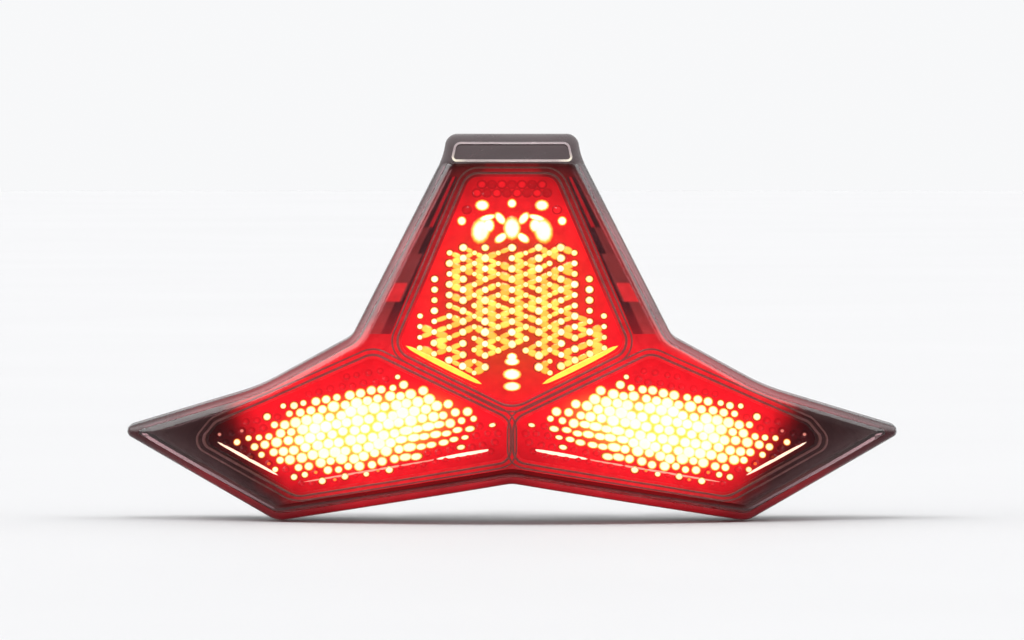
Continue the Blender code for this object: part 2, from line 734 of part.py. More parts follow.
def rear_housing():
    lens = mirrored(LENS_CORNERS)
    rings = [
        (outline(lens, 0.0075), back(0.0)),
        (outline(lens, 0.0055), back(-0.0025)),
        (outline(lens, 0.0030), face(RIM_FACE + RIM_WALL + 0.0005)),
        (outline(lens), face(RIM_FACE + RIM_WALL)),
        (outline(lens), face(RIM_FACE)),
        (outline(lens, 0.0060), face(RIM_FACE)),
        (outline(lens, 0.0078), back(-FLOOR_WALL)),
    ]
    housing = stack("rear_housing", "housing_plastic", rings, spacing=FILL_STEP)
    cuts = []
    for name, x, z in TABS:
        combine(housing, tab_plate(name, x, z), "UNION")
        for index, offset in enumerate((-RIB_OFFSET, RIB_OFFSET)):
            combine(housing, tab_rib(f"{name}_{index}", x, z, offset), "UNION")
        profile = [(TAB_HOLE_RADIUS, -TAB_WALL), (TAB_HOLE_RADIUS, TAB_WALL)]
        place = Matrix.Translation(tab_hole(x, z))
        cuts.append(turned(f"cut_{name}_tab", "housing_plastic", profile, ROUND, place))
    for name, side, _, _, plane, screws in light_units():
        normal = plane_normal(plane, side)
        for index, (x, z) in enumerate(screws):
            length = post_length(plane, x, z, normal)
            base = board_point(plane, x, z, 0.0) + normal * BOARD_WALL
            place = aligned(base, normal)
            post = [(POST_RADIUS, GAP), (POST_RADIUS, length)]
            shape = turned(f"add_{name}_post_{index}", "housing_plastic", post, SMALL_ROUND, place)
            combine(housing, shape, "UNION")
            pilot = [(PILOT_RADIUS, -BOARD_WALL), (PILOT_RADIUS, POST_BORE)]
            cuts.append(turned(f"cut_{name}_post_{index}", "housing_plastic", pilot, SMALL_ROUND, place))
    pads = [
        ("cable", CABLE_SEAT, CABLE_SEAT_RADIUS, CABLE_SEAT_INNER, CABLE_SEAT_OUTER, CABLE_HOLE_RADIUS),
        ("vent", VENT_SEAT, VENT_SEAT_RADIUS, VENT_SEAT_INNER, VENT_SEAT_OUTER, VENT_HOLE_RADIUS),
    ]
    for name, spot, radius, inner, outer, hole in pads:
        combine(housing, seat(f"add_{name}_seat", radius, spot, inner, outer), "UNION")
        cuts.append(seat(f"cut_{name}_seat", hole, spot, 2 * inner, 2 * outer))
    for cutter in cuts:
        combine(housing, cutter, "DIFFERENCE")


def cable_gland():
    """Rubber gland with an open bore, gripping both faces of its seat"""
    middle = back(0.0)(*CABLE_SEAT)
    inner = -CABLE_SEAT_INNER - GAP
    outer = CABLE_SEAT_OUTER + GAP
    neck = CABLE_HOLE_RADIUS - GAP
    profile = [
        (CABLE_BORE_RADIUS, inner - 0.0018),
        (0.0068, inner - 0.0018),
        (0.0068, inner),
        (neck, inner),
        (neck, outer),
        (0.0078, outer),
        (0.0078, outer + 0.0024),
        (0.0056, outer + 0.0034),
        (0.0048, outer + 0.0110),
        (CABLE_BORE_RADIUS, outer + 0.0110),
    ]
    place = aligned(Vector((CABLE_SEAT[0], middle, CABLE_SEAT[1])), Vector((0, 1, 0)))
    turned("cable_gland", "seal_rubber", profile, ROUND, place, bored=True)


def vent_cap():
    """Breather plug with a stem in the housing and a cap outside"""
    middle = back(0.0)(*VENT_SEAT)
    outer = VENT_SEAT_OUTER + GAP
    stem = VENT_HOLE_RADIUS - GAP
    profile = [
        (0.0018, -0.0060),
        (stem, -0.0050),
        (stem, outer),
        (0.0048, outer),
        (0.0052, outer + 0.0006),
        (0.0052, outer + 0.0034),
        (0.0042, outer + 0.0042),
    ]
    place = aligned(Vector((VENT_SEAT[0], middle, VENT_SEAT[1])), Vector((0, 1, 0)))
    turned("vent_cap", "black_epoxy", profile, ROUND, place)


def tab_fittings(name, x, z):
    """Rubber grommet, flanged steel collar and screw of one mounting tab"""
    place = Matrix.Translation(tab_hole(x, z))
    bore = COLLAR_RADIUS + GAP
    neck = TAB_HOLE_RADIUS - GAP
    lip = GROMMET_LIP
    shelf = TAB_WALL / 2 + GAP
    grommet_end = shelf + 0.0022
    grommet = [
        (bore, -grommet_end),
        (lip - 0.0006, -grommet_end),
        (lip, -grommet_end + 0.0006),
        (lip, -shelf),
        (neck, -shelf),
        (neck, shelf),
        (lip, shelf),
        (lip, grommet_end - 0.0006),
        (lip - 0.0006, grommet_end),
        (bore, grommet_end),
    ]
    turned(name + "_mount_grommet", "seal_rubber", grommet, ROUND, place, bored=True)
    flange_top = -grommet_end - GAP
    flange_low = flange_top - 0.0012
    collar = [
        (MOUNT_SCREW_RADIUS + GAP, flange_low),
        (COLLAR_FLANGE, flange_low),
        (COLLAR_FLANGE, flange_top),
        (COLLAR_RADIUS, flange_top),
        (COLLAR_RADIUS, grommet_end + GAP),
        (MOUNT_SCREW_RADIUS + GAP, grommet_end + GAP),
    ]
    turned(name + "_mount_collar", "collar_steel", collar, ROUND, place, bored=True)
    under_head = grommet_end + 2 * GAP
    screw = [
        (MOUNT_SCREW_RADIUS * 0.8, -MOUNT_SCREW_END),
        (MOUNT_SCREW_RADIUS, -MOUNT_SCREW_END + 0.0012),
        (MOUNT_SCREW_RADIUS, under_head),
        (MOUNT_SCREW_FLANGE, under_head),
        (MOUNT_SCREW_FLANGE, under_head + 0.0009),
        (MOUNT_SCREW_HEX, under_head + 0.0016),
        (MOUNT_SCREW_HEX, under_head + 0.0050, 6),
        (MOUNT_SCREW_HEX - 0.0006, under_head + 0.0054),
        (0.0034, under_head + 0.0054),
        (0.0032, under_head + 0.0046),
    ]
    turned(name + "_mount_screw", "screw_steel", screw, ROUND, place)


def main():
    clear_scene()
    outer_lens()
    lens_seal()
    inner_bezel()
    lit_faces()
    electronics()
    for name, side in (("left", -1), ("right", 1)):
        jumper_lead(name + "_lead", side)
    rear_housing()
    cable_gland()
    vent_cap()
    for name, x, z in TABS:
        tab_fittings(name, x, z)


main()
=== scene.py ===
"""Looks of the LED tail light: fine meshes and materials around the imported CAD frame.

The fine pieces follow the same curved face and the same outlines as the CAD solids that they
stand for, in the same frame: X across, +Y forwards on the motorcycle, +Z up, lens facing -Y.
"""
import json
import math

import bmesh
import bpy
import numpy as np
from mathutils import Matrix, Vector
from mathutils.geometry import delaunay_2d_cdt

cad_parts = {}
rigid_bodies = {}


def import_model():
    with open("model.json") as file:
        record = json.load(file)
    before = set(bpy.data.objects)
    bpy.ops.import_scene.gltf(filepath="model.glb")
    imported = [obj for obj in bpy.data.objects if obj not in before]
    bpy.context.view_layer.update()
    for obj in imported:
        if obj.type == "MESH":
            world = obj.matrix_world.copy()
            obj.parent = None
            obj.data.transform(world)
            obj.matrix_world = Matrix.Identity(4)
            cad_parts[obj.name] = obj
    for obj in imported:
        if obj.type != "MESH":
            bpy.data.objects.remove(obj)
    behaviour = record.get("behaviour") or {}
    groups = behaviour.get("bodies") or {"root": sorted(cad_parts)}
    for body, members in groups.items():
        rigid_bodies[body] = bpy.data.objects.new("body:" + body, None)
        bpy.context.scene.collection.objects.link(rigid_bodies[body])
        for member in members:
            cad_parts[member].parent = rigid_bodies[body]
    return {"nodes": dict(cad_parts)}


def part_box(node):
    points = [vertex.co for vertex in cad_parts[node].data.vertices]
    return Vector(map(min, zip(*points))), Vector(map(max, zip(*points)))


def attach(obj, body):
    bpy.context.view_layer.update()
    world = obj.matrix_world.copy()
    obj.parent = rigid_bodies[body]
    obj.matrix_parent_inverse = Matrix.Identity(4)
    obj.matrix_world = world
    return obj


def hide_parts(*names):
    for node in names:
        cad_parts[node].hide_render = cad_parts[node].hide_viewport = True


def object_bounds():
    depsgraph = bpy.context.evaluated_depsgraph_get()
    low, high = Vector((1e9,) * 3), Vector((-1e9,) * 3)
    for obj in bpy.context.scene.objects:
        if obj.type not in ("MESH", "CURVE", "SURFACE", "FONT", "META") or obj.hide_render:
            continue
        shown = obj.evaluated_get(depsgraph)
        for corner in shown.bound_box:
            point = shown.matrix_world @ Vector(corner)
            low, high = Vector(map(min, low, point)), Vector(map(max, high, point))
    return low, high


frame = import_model()
cad_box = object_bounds()

# Driving dimensions of the curved face, as in the CAD, in metres
HALF_WIDTH = 0.12
REAR_Y = -0.0747
CREASE_Z = 0.109
LEAN_START_Z = 0.02
LEAN_END_Z = 0.062
LOW_SLOPE = 0.45
STEM_SLOPE = 0.97
TOP_SLOPE = 2.3
SWEEP_DEPTH = 0.045
SWEEP_POWER = 1.6
LENS_SKIRT = 0.014
LENS_WALL = 0.0022
LENS_FACE_WALL = 0.0032
LENS_ROUND = 0.005
LENS_INNER_ROUND = 0.004
LENS_EDGE = 0.0005
EDGE_SHADE_DEPTHS = (0.0008, 0.003)    # depths on the rounded edge between which the lens takes the dark skirt plastic, painted shade along its outline
BEZEL_FACE = 0.0068
BEZEL_WALL = 0.0016
BEZEL_INSET = 0.0042
BEZEL_SKIRT_INSET = 0.003
SEAL_INSET = 0.0014
SEAL_HALF_WIDTH = 0.0011
SEAL_HALF_DEPTH = 0.001
OPTIC_FACE = 0.0098
OPTIC_WALL = 0.0025
OPTIC_LIP = 0.0012
RIM_FACE = 0.0165
HOUSING_DEPTH = 0.04
TIP_DEPTH = 0.03
FLOOR_WALL = 0.003
GAP = 0.0003
TAB_WALL = 0.004
TAB_HALF_WIDTH = 0.011
TAB_HOLE_RADIUS = 0.006
TAB_RIB_WIDTH = 0.0025
TABS = ("top", "left", "right")
BACK_INSET = 0.0055
BACK_ROUND = 0.003
CABLE_BORE_RADIUS = 0.0032

ARC_STEPS = 7
EDGE_STEP = 0.0035
FILL_STEP = 0.004
ROUND = 56

LENS_CORNERS = [
    (0.0, 0.012, 0.01),
    (0.072, 0.0, 0.007),
    (0.1225, 0.0268, 0.002),
    (0.078, 0.0405, 0.06),
    (0.0495, 0.056, 0.006),
    (0.0216, 0.111, 0.02),
    (0.0205, 0.118, 0.005),
]
STEM_CORNERS = [
    (0.0, 0.035, 0.008),
    (0.035, 0.052, 0.004),
    (0.013, 0.104, 0.004),
]
BAND_CORNERS = [
    (0.0188, 0.1098, 0.0012),
    (0.0176, 0.1152, 0.0018),
]
WING_CORNERS = [
    (0.0016, 0.019, 0.003),
    (0.0655, 0.008, 0.006),
    (0.0944, 0.0232, 0.003),
    (0.0905, 0.028, 0.003),
    (0.0425, 0.049, 0.005),
    (0.0016, 0.03, 0.004),
]

# Ellipses of light on the right half: centre x, z, half width, half height, tilt in degrees
WING_DOTS = (0.0446, 0.0276, 0.0356, 0.0126, -10.0)
WING_GLOW = (0.04, 0.032, 0.052, 0.0265, -4.0)
STEM_GLOW = (0.0, 0.066, 0.0385, 0.0375, 0.0)
# Line across the wing where its red ends: a place on it and its outward normal
WING_END = ((0.0835, 0.031), (0.857, -0.515), 0.0015)

RED = np.array((1.0, 0.01, 0.022))
ROSE = np.array((0.95, 0.02, 0.045))
AMBER = np.array((1.0, 0.42, 0.03))
YELLOW = np.array((1.15, 0.92, 0.14))
WHITE = np.array((1.3, 1.26, 0.88))


# ---- materials ----

class Tree:
    """Small helper that builds one Principled material node by node"""

    def __init__(self, name):
        self.material = bpy.data.materials.new(name)
        self.material.use_nodes = True
        self.nodes = self.material.node_tree.nodes
        self.links = self.material.node_tree.links
        self.shader = self.nodes["Principled BSDF"]
        self.place = self.nodes.new("ShaderNodeTexCoord").outputs["Object"]

    def set(self, **values):
        for name, value in values.items():
            self.shader.inputs[name.replace("_", " ")].default_value = value
        return self

    def link(self, output, socket):
        self.links.new(output, self.shader.inputs[socket])

    def node(self, kind, settings=None, **inputs):
        made = self.nodes.new("ShaderNode" + kind)
        for name, value in (settings or {}).items():
            setattr(made, name, value)
        for name, value in inputs.items():
            socket = made.inputs[name.replace("_", " ")]
            if isinstance(value, bpy.types.NodeSocket):
                self.links.new(value, socket)
            else:
                socket.default_value = value
        return made

    def noise(self, scale, detail=4.0, roughness=0.6, stretch=None):
        place = self.place
        if stretch:
            place = self.node("Mapping", Vector=place, Scale=stretch).outputs["Vector"]
        made = self.node("TexNoise", Vector=place, Scale=scale, Detail=detail, Roughness=roughness)
        return made.outputs["Fac"]

    def cells(self, scale):
        return self.node("TexVoronoi", Vector=self.place, Scale=scale).outputs["Distance"]

    def ramp(self, value, *stops):
        made = self.node("ValToRGB", Fac=value)
        elements = made.color_ramp.elements
        while len(elements) < len(stops):
            elements.new(0.5)
        for element, (position, colour) in zip(elements, stops):
            element.position = position
            element.color = (*colour, 1.0)
        return made.outputs["Color"]

    def span(self, value, low, high, start=0.3, end=0.7):
        made = self.node("MapRange", Value=value)
        for name, number in (("From Min", start), ("From Max", end), ("To Min", low), ("To Max", high)):
            made.inputs[name].default_value = number
        return made.outputs["Result"]

    def mix(self, share, first, second, mode="MIX"):
        made = self.nodes.new("ShaderNodeMix")
        made.data_type = "RGBA"
        made.blend_type = mode
        for index, value in ((0, share), (6, first), (7, second)):
            if isinstance(value, bpy.types.NodeSocket):
                self.links.new(value, made.inputs[index])
            else:
                made.inputs[index].default_value = value
        return made.outputs[2]

    def bump(self, height, strength, distance):
        made = self.node("Bump", Height=height, Strength=strength, Distance=distance)
        self.link(made.outputs["Normal"], "Normal")
        return made


def speckled(name, dark, light, roughness, grain, bump=0.2, metallic=0.0, blotch=18.0, wear=None):
    """Moulded or cast surface: blotches of tone, fine grain in the bump, patchy roughness"""
    tree = Tree(name).set(Metallic=metallic)
    tone = tree.ramp(tree.noise(blotch, 6.0), (0.3, dark), (0.72, light))
    if wear:
        edge = tree.span(tree.node("NewGeometry").outputs["Pointiness"], 0.0, 1.0, 0.52, 0.6)
        scuffed = tree.node("Math", {"operation": "MULTIPLY"})
        tree.links.new(edge, scuffed.inputs[0])
        tree.links.new(tree.noise(blotch * 9, 3.0), scuffed.inputs[1])
        tone = tree.mix(scuffed.outputs[0], tone, (*wear, 1.0))
    tree.link(tone, "Base Color")
    tree.link(tree.span(tree.noise(blotch * 3, 5.0), *roughness), "Roughness")
    tree.bump(tree.noise(grain, 3.0, 0.7), bump, 0.0003)
    return tree.material


def brushed(name, colour, roughness, stretch, wear):
    """Plated metal with fine drawn lines and a few dull spots"""
    tree = Tree(name).set(Metallic=1.0)
    lines = tree.noise(900.0, 2.0, 0.5, stretch)
    dull = tree.noise(140.0, 5.0)
    dark = tuple(part * 0.62 for part in colour)
    tree.link(tree.mix(tree.span(dull, 0.0, 1.0, 0.45, 0.75), tree.ramp(lines, (0.2, dark), (0.7, colour)),
                       (*wear, 1.0)), "Base Color")
    tree.link(tree.span(lines, *roughness), "Roughness")
    tree.bump(lines, 0.12, 0.0002)
    return tree.material


def smoked_lens():
    """Clear plastic with a smoked tint that deepens with its thickness, as at the skirt"""
    tree = Tree("smoked_polycarbonate").set(Transmission_Weight=1.0, IOR=1.49, Specular_IOR_Level=0.12)
    haze = tree.noise(26.0, 7.0, 0.65)
    tree.link(tree.ramp(haze, (0.25, (0.9, 0.86, 0.87)), (0.75, (0.98, 0.95, 0.96))), "Base Color")
    tree.link(tree.span(tree.noise(60.0, 6.0), 0.008, 0.035), "Roughness")
    tree.bump(tree.noise(9.0, 2.0), 0.03, 0.0006)
    tint = tree.nodes.new("ShaderNodeVolumeAbsorption")
    tint.inputs["Color"].default_value = (0.52, 0.14, 0.19, 1.0)
    tint.inputs["Density"].default_value = 190.0
    tree.links.new(tint.outputs["Volume"], tree.nodes["Material Output"].inputs["Volume"])
    return tree.material


def dark_skirt_and_edge_shade():
    """Deep smoked plastic of the lens's skirt, which carries a little of the red light; it is also laid on
    the rounded edge as painted shade round the outline, and darkens the top band
    """
    tree = Tree("smoked_skirt").set(Transmission_Weight=0.3, IOR=1.49, Specular_IOR_Level=0.12,
                                    Emission_Strength=1.0)
    haze = tree.noise(40.0, 6.0, 0.65)
    tree.link(tree.ramp(haze, (0.25, (0.04, 0.008, 0.012)), (0.75, (0.075, 0.016, 0.022))), "Base Color")
    tree.link(tree.span(tree.noise(90.0, 6.0), 0.16, 0.3), "Roughness")
    light = tree.node("Attribute", {"attribute_name": "light"}).outputs["Color"]
    streaks = tree.ramp(tree.noise(60.0, 4.0), (0.3, (0.6, 0.6, 0.6)), (0.65, (1.0, 1.0, 1.0)))
    tree.link(tree.mix(1.0, light, streaks, "MULTIPLY"), "Emission Color")
    tree.bump(tree.noise(300.0, 3.0), 0.08, 0.0003)
    return tree.material


def lit(name, base, roughness, strength, coat, gloss=0.5, steady=None):
    """Plastic that carries light: its emission is a steady colour or the mesh's light attribute"""
    tree = Tree(name).set(Emission_Strength=strength, Coat_Weight=coat, Coat_Roughness=0.06,
                          Specular_IOR_Level=gloss)
    dark = tuple(part * 0.6 for part in base)
    tree.link(tree.ramp(tree.noise(70.0, 5.0), (0.3, dark), (0.7, base)), "Base Color")
    light = steady or tree.node("Attribute", {"attribute_name": "light"}).outputs["Color"]
    flicker = tree.ramp(tree.noise(240.0, 4.0), (0.3, (0.78, 0.78, 0.78)), (0.65, (1.0, 1.0, 1.0)))
    tree.link(tree.mix(1.0, light, flicker, "MULTIPLY"), "Emission Color")
    tree.link(tree.span(tree.noise(120.0, 4.0), roughness * 0.6, roughness * 1.5), "Roughness")
    tree.bump(tree.noise(420.0, 3.0), 0.06, 0.0002)
    return tree.material


def board_mask():
    """Green solder mask with copper tracks that show through it"""
    tree = Tree("solder_mask").set(Coat_Weight=0.5, Coat_Roughness=0.15)
    settings = {"offset": 0.5, "squash": 1.0}
    grid = tree.node("TexBrick", settings, Vector=tree.place, Scale=150.0)
    grid.inputs["Color1"].default_value = (0.01, 0.085, 0.035, 1.0)
    grid.inputs["Color2"].default_value = (0.014, 0.12, 0.045, 1.0)
    grid.inputs["Mortar"].default_value = (0.035, 0.2, 0.075, 1.0)
    grid.inputs["Mortar Size"].default_value = 0.03
    spots = tree.span(tree.cells(260.0), 1.0, 0.0, 0.1, 0.16)
    tree.link(tree.mix(spots, grid.outputs["Color"], (0.7, 0.68, 0.6, 1.0)), "Base Color")
    tree.link(tree.span(tree.noise(200.0), 0.3, 0.5), "Roughness")
    tree.bump(grid.outputs["Fac"], 0.15, 0.0001)
    return tree.material


MATERIALS = {
    "lens": smoked_lens(),
    "skirt": dark_skirt_and_edge_shade(),
    "bezel": lit("smoked_bezel", (0.07, 0.045, 0.056), 0.26, 1.6, 0.0, 0.12),
    # the trim's emission carries painted highlights: the pale glow of the trim lines and of the lens's band
    # line
    "trim": lit("satin_trim", (0.42, 0.27, 0.31), 0.24, 0.8, 0.3),
    "rail": lit("smoked_rail", (0.24, 0.13, 0.16), 0.2, 1.0, 0.2, 0.35),
    "optic": lit("red_optic_plastic", (0.22, 0.006, 0.01), 0.16, 2.2, 0.3),
    "housing": speckled("housing_nylon", (0.014, 0.014, 0.015), (0.034, 0.034, 0.036), (0.42, 0.62),
                        2600.0, 0.35, wear=(0.1, 0.1, 0.1)),
    "rubber": speckled("seal_rubber", (0.01, 0.01, 0.011), (0.026, 0.025, 0.025), (0.66, 0.88),
                       900.0, 0.3),
    "epoxy": speckled("black_epoxy", (0.012, 0.012, 0.013), (0.03, 0.03, 0.03), (0.4, 0.6),
                      1800.0, 0.2),
    "header": speckled("header_nylon", (0.6, 0.56, 0.46), (0.78, 0.74, 0.64), (0.4, 0.55), 1500.0, 0.15),
    "jacket": speckled("lead_jacket", (0.34, 0.01, 0.01), (0.5, 0.02, 0.018), (0.35, 0.5), 1200.0, 0.12),
    "mirror": brushed("vacuum_metal", (0.86, 0.86, 0.88), (0.06, 0.16), (1.0, 1.0, 0.2), (0.7, 0.7, 0.72)),
    "zinc": brushed("zinc_plate", (0.62, 0.62, 0.6), (0.22, 0.4), (1.0, 1.0, 0.08), (0.4, 0.39, 0.36)),
    "can": brushed("capacitor_can", (0.74, 0.74, 0.76), (0.2, 0.34), (1.0, 1.0, 0.1), (0.55, 0.55, 0.56)),
    "board": board_mask(),
    "led": lit("led_phosphor", (0.9, 0.75, 0.3), 0.3, 2.0, 0.3, steady=(*YELLOW, 1.0)),
}


# ---- the curved face and its outlines ----

def lean(z, top_slope):
    """Forward lean of the face's middle line at height z"""
    straight = np.minimum(z, LEAN_END_Z)
    blend = np.maximum(straight - LEAN_START_Z, 0.0)
    bend = (STEM_SLOPE - LOW_SLOPE) / (LEAN_END_Z - LEAN_START_Z)
    stem = np.maximum(z - LEAN_END_Z, 0.0)
    top = np.maximum(z - CREASE_Z, 0.0)
    return LOW_SLOPE * straight + bend * blend ** 2 / 2 + STEM_SLOPE * stem + (top_slope - STEM_SLOPE) * top


def sweep(x):
    """Forward sweep of the wings"""
    return SWEEP_DEPTH * (np.abs(x) / HALF_WIDTH) ** SWEEP_POWER


def face(depth):
    """Height function of the surface that lies depth behind the lens face"""
    return lambda x, z: REAR_Y + lean(z, TOP_SLOPE) + sweep(x) + depth


def back(offset):
    """Height function of the housing's back, moved by offset"""
    def height(x, z):
        taper = min(max((abs(x) - 0.07) / 0.045, 0.0), 1.0)
        depth = HOUSING_DEPTH + (TIP_DEPTH - HOUSING_DEPTH) * taper
        return REAR_Y + lean(z, STEM_SLOPE) + sweep(x) + depth + offset
    return height


def mirrored(half):
    """Full outline from the corners of its right half"""
    return half + [(-x, z, radius) for x, z, radius in reversed(half) if x > 0]


def on_side(corners, side):
    """The same outline on the right (side 1) or the left (side -1)"""
    if side > 0:
        return corners
    return [(-x, z, radius) for x, z, radius in reversed(corners)]


def inset_corners(corners, inset):
    """Move every edge of an anticlockwise outline inwards by inset"""
    moved = []
    count = len(corners)
    for index, (x, z, radius) in enumerate(corners):
        here = Vector((x, z))
        before = (here - Vector(corners[index - 1][:2])).normalized()
        after = (Vector(corners[(index + 1) % count][:2]) - here).normalized()
        normals = Vector((-before.y - after.y, before.x + after.x))
        place = here + normals * (inset / (1 + before.dot(after)))
        bends_in = before.x * after.y - before.y * after.x < 0
        new_radius = radius + inset if bends_in else radius - inset
        moved.append((place.x, place.y, max(new_radius, 0.0008)))
    return moved


def outline(corners, inset=0.0, step=EDGE_STEP):
    """Closed loop of points along an outline with rounded corners, moved inwards by inset"""
    moved = inset_corners(corners, inset)
    count = len(moved)
    arcs = []
    for index, (x, z, radius) in enumerate(moved):
        here = Vector((x, z))
        before = Vector(moved[index - 1][:2]) - here
        after = Vector(moved[(index + 1) % count][:2]) - here
        half_angle = before.angle(after) / 2
        reach = min(radius / math.tan(half_angle), 0.45 * before.length, 0.45 * after.length)
        start = here + before.normalized() * reach
        end = here + after.normalized() * reach
        middle = (before.normalized() + after.normalized()).normalized()
        centre = here + middle * (reach / math.cos(half_angle))
        rays = [start.lerp(end, number / ARC_STEPS) - centre for number in range(ARC_STEPS + 1)]
        arcs.append([centre + ray.normalized() * (start - centre).length for ray in rays])
    points = []
    for index, arc in enumerate(arcs):
        points += arc
        edge = Vector(corners[(index + 1) % count][:2]) - Vector(corners[index][:2])
        pieces = max(1, math.ceil(edge.length / step))
        next_start = arcs[(index + 1) % count][0]
        points += [arc[-1].lerp(next_start, piece / pieces) for piece in range(1, pieces)]
    return [(point.x, point.y) for point in points]


def inner_points(loops, spacing, rows=()):
    """Grid points well inside the first loop and outside the others, with extra rows at some heights"""
    starts = np.concatenate([np.array(loop) for loop in loops])
    ends = np.concatenate([np.roll(np.array(loop), -1, axis=0) for loop in loops])
    along = ends - starts
    low, high = starts.min(axis=0), starts.max(axis=0)
    columns = np.arange(math.ceil(low[0] / spacing), high[0] / spacing) * spacing
    heights = np.arange(math.ceil(low[1] / spacing), high[1] / spacing) * spacing
    heights = [height for height in heights if all(abs(height - row) > spacing / 2 for row in rows)]
    grid = np.array([(x, z) for z in [*heights, *rows] for x in columns]).reshape(-1, 2)
    crosses = (starts[:, 1] > grid[:, None, 1]) != (ends[:, 1] > grid[:, None, 1])
    rise = np.where(along[:, 1] == 0, 1.0, along[:, 1])
    cut = starts[:, 0] + (grid[:, None, 1] - starts[:, 1]) * along[:, 0] / rise
    is_in = (crosses & (grid[:, None, 0] < cut)).sum(axis=1) % 2 == 1
    share = np.clip(((grid[:, None] - starts) * along).sum(-1) / (along ** 2).sum(-1), 0, 1)
    gaps = np.linalg.norm(grid[:, None] - starts - share[..., None] * along, axis=-1).min(axis=1)
    return grid[is_in & (gaps > spacing * 0.5)]


# ---- meshes ----

def bridge(bm, first, second):
    """Quads between two rings of vertices"""
    count = len(first)
    for index in range(count):
        following = (index + 1) % count
        bm.faces.new((first[index], first[following], second[following], second[index]))


def loft(bm, rings, capped=True):
    """Join rings one after another, and close the first and the last"""
    for first, second in zip(rings, rings[1:]):
        bridge(bm, first, second)
    if capped:
        bm.faces.new(rings[0])
        bm.faces.new(rings[-1])


def quarter(steps):
    """Inset and depth along a quarter round of radius 1, from the flat face to the side"""
    angles = [math.pi / 2 * number / steps for number in range(steps + 1)]
    return [(1 - math.sin(angle), 1 - math.cos(angle)) for angle in angles]


def inner_faces(faces, borders):
    """Triangles inside the borders: each border crossed on the way in from outside flips the side"""
    users = {}
    for number, corners in enumerate(faces):
        for start, end in zip(corners, corners[1:] + corners[:1]):
            users.setdefault(frozenset((start, end)), []).append(number)
    neighbours = {number: [] for number in range(len(faces))}
    is_inner = {}
    for edge, sharing in users.items():
        if len(sharing) == 1:
            is_inner[sharing[0]] = edge in borders
        else:
            neighbours[sharing[0]].append((sharing[1], edge in borders))
            neighbours[sharing[1]].append((sharing[0], edge in borders))
    queue = list(is_inner)
    while queue:
        number = queue.pop()
        for other, crosses in neighbours[number]:
            if other not in is_inner:
                is_inner[other] = is_inner[number] != crosses
                queue.append(other)
    return [corners for number, corners in enumerate(faces) if is_inner[number]]


def cap(bm, rings, height, spacing, rows):
    """Fill the region inside the first ring and outside the others with triangles"""
    loops = [[(vert.co.x, vert.co.z) for vert in ring] for ring in rings]
    verts = [vert for ring in rings for vert in ring]
    edges = []
    for ring in rings:
        start = len(edges)
        edges += [(start + index, start + (index + 1) % len(ring)) for index in range(len(ring))]
    flat = [Vector((vert.co.x, vert.co.z)) for vert in verts]
    for x, z in inner_points(loops, spacing, rows):
        flat.append(Vector((x, z)))
        verts.append(bm.verts.new((x, height(x, z), z)))
    _, _, faces, sources, _, _ = delaunay_2d_cdt(flat, edges, [], 0, 1e-7, True)
    faces = [[sources[corner][0] for corner in corners] for corners in faces]
    for corners in inner_faces(faces, {frozenset(edge) for edge in edges}):
        bm.faces.new([verts[corner] for corner in corners])


def ring_verts(bm, loop, height):
    """Vertices of a loop of points, lifted to a surface"""
    return [bm.verts.new((x, height(x, z), z)) for x, z in loop]


def stack(bm, rings, holes=(), spacing=FILL_STEP, rows=()):
    """Closed body from (loop, height) rings, filled across its first and last ring"""
    walls = [[ring_verts(bm, loop, height) for loop, height in rings]]
    walls += [[ring_verts(bm, loop, height) for loop, height in hole] for hole in holes]
    for wall in walls:
        loft(bm, wall, capped=False)
    cap(bm, [wall[0] for wall in walls], rings[0][1], spacing, rows)
    cap(bm, [wall[-1] for wall in walls], rings[-1][1], spacing, rows)


def band(bm, rings):
    """Closed body that runs round a loop: its last ring joins its first"""
    made = [ring_verts(bm, loop, height) for loop, height in rings]
    loft(bm, made + made[:1], capped=False)


def ridge(bm, corners, inset, width, depth, proud):
    """Rounded bead along an outline, standing proud of the surface that lies depth behind the face"""
    rings = []
    for number in range(9):
        angle = math.pi * number / 8
        across = inset - width / 2 * math.cos(angle)
        rings.append((outline(corners, across), face(depth - proud * math.sin(angle))))
    rings.append((outline(corners, inset + width / 2), face(depth + 0.0004)))
    rings.append((outline(corners, inset - width / 2), face(depth + 0.0004)))
    band(bm, rings)


def bar(bm, start, end, width, depth, proud, pieces=16):
    """Rounded bar that lies on the face between two places, tapered to its ends"""
    run = Vector(end) - Vector(start)
    side = Vector((-run.y, run.x)).normalized()
    rings = []
    for number in range(pieces + 1):
        share = number / pieces
        middle = Vector(start) + run * share
        plump = max(math.sin(math.pi * share), 0.0) ** 0.35 + 0.02
        ring = []
        for corner in range(10):
            angle = 2 * math.pi * corner / 10
            spot = middle + side * (width / 2 * plump * math.cos(angle))
            lift = proud * plump * math.sin(angle)
            ring.append(bm.verts.new((spot.x, face(depth - lift)(spot.x, spot.y), spot.y)))
        rings.append(ring)
    loft(bm, rings)


def to_object(bm, name):
    """Object of the scene from a bmesh, with its faces turned outwards"""
    bmesh.ops.recalc_face_normals(bm, faces=bm.faces)
    mesh = bpy.data.meshes.new(name)
    bm.to_mesh(mesh)
    bm.free()
    made = bpy.data.objects.new(name, mesh)
    bpy.context.scene.collection.objects.link(made)
    return made


def finish(bm, name, materials, replaced, sharp=30.0):
    """Turn a bmesh into a piece that rides with the light and stands for CAD nodes"""
    made = to_object(bm, name)
    made.data.shade_smooth()
    made.data.set_sharp_from_angle(angle=math.radians(sharp))
    for material in materials:
        made.data.materials.append(MATERIALS[material])
    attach(made, "root")
    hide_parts(*replaced)
    return made


# ---- light on the front ----

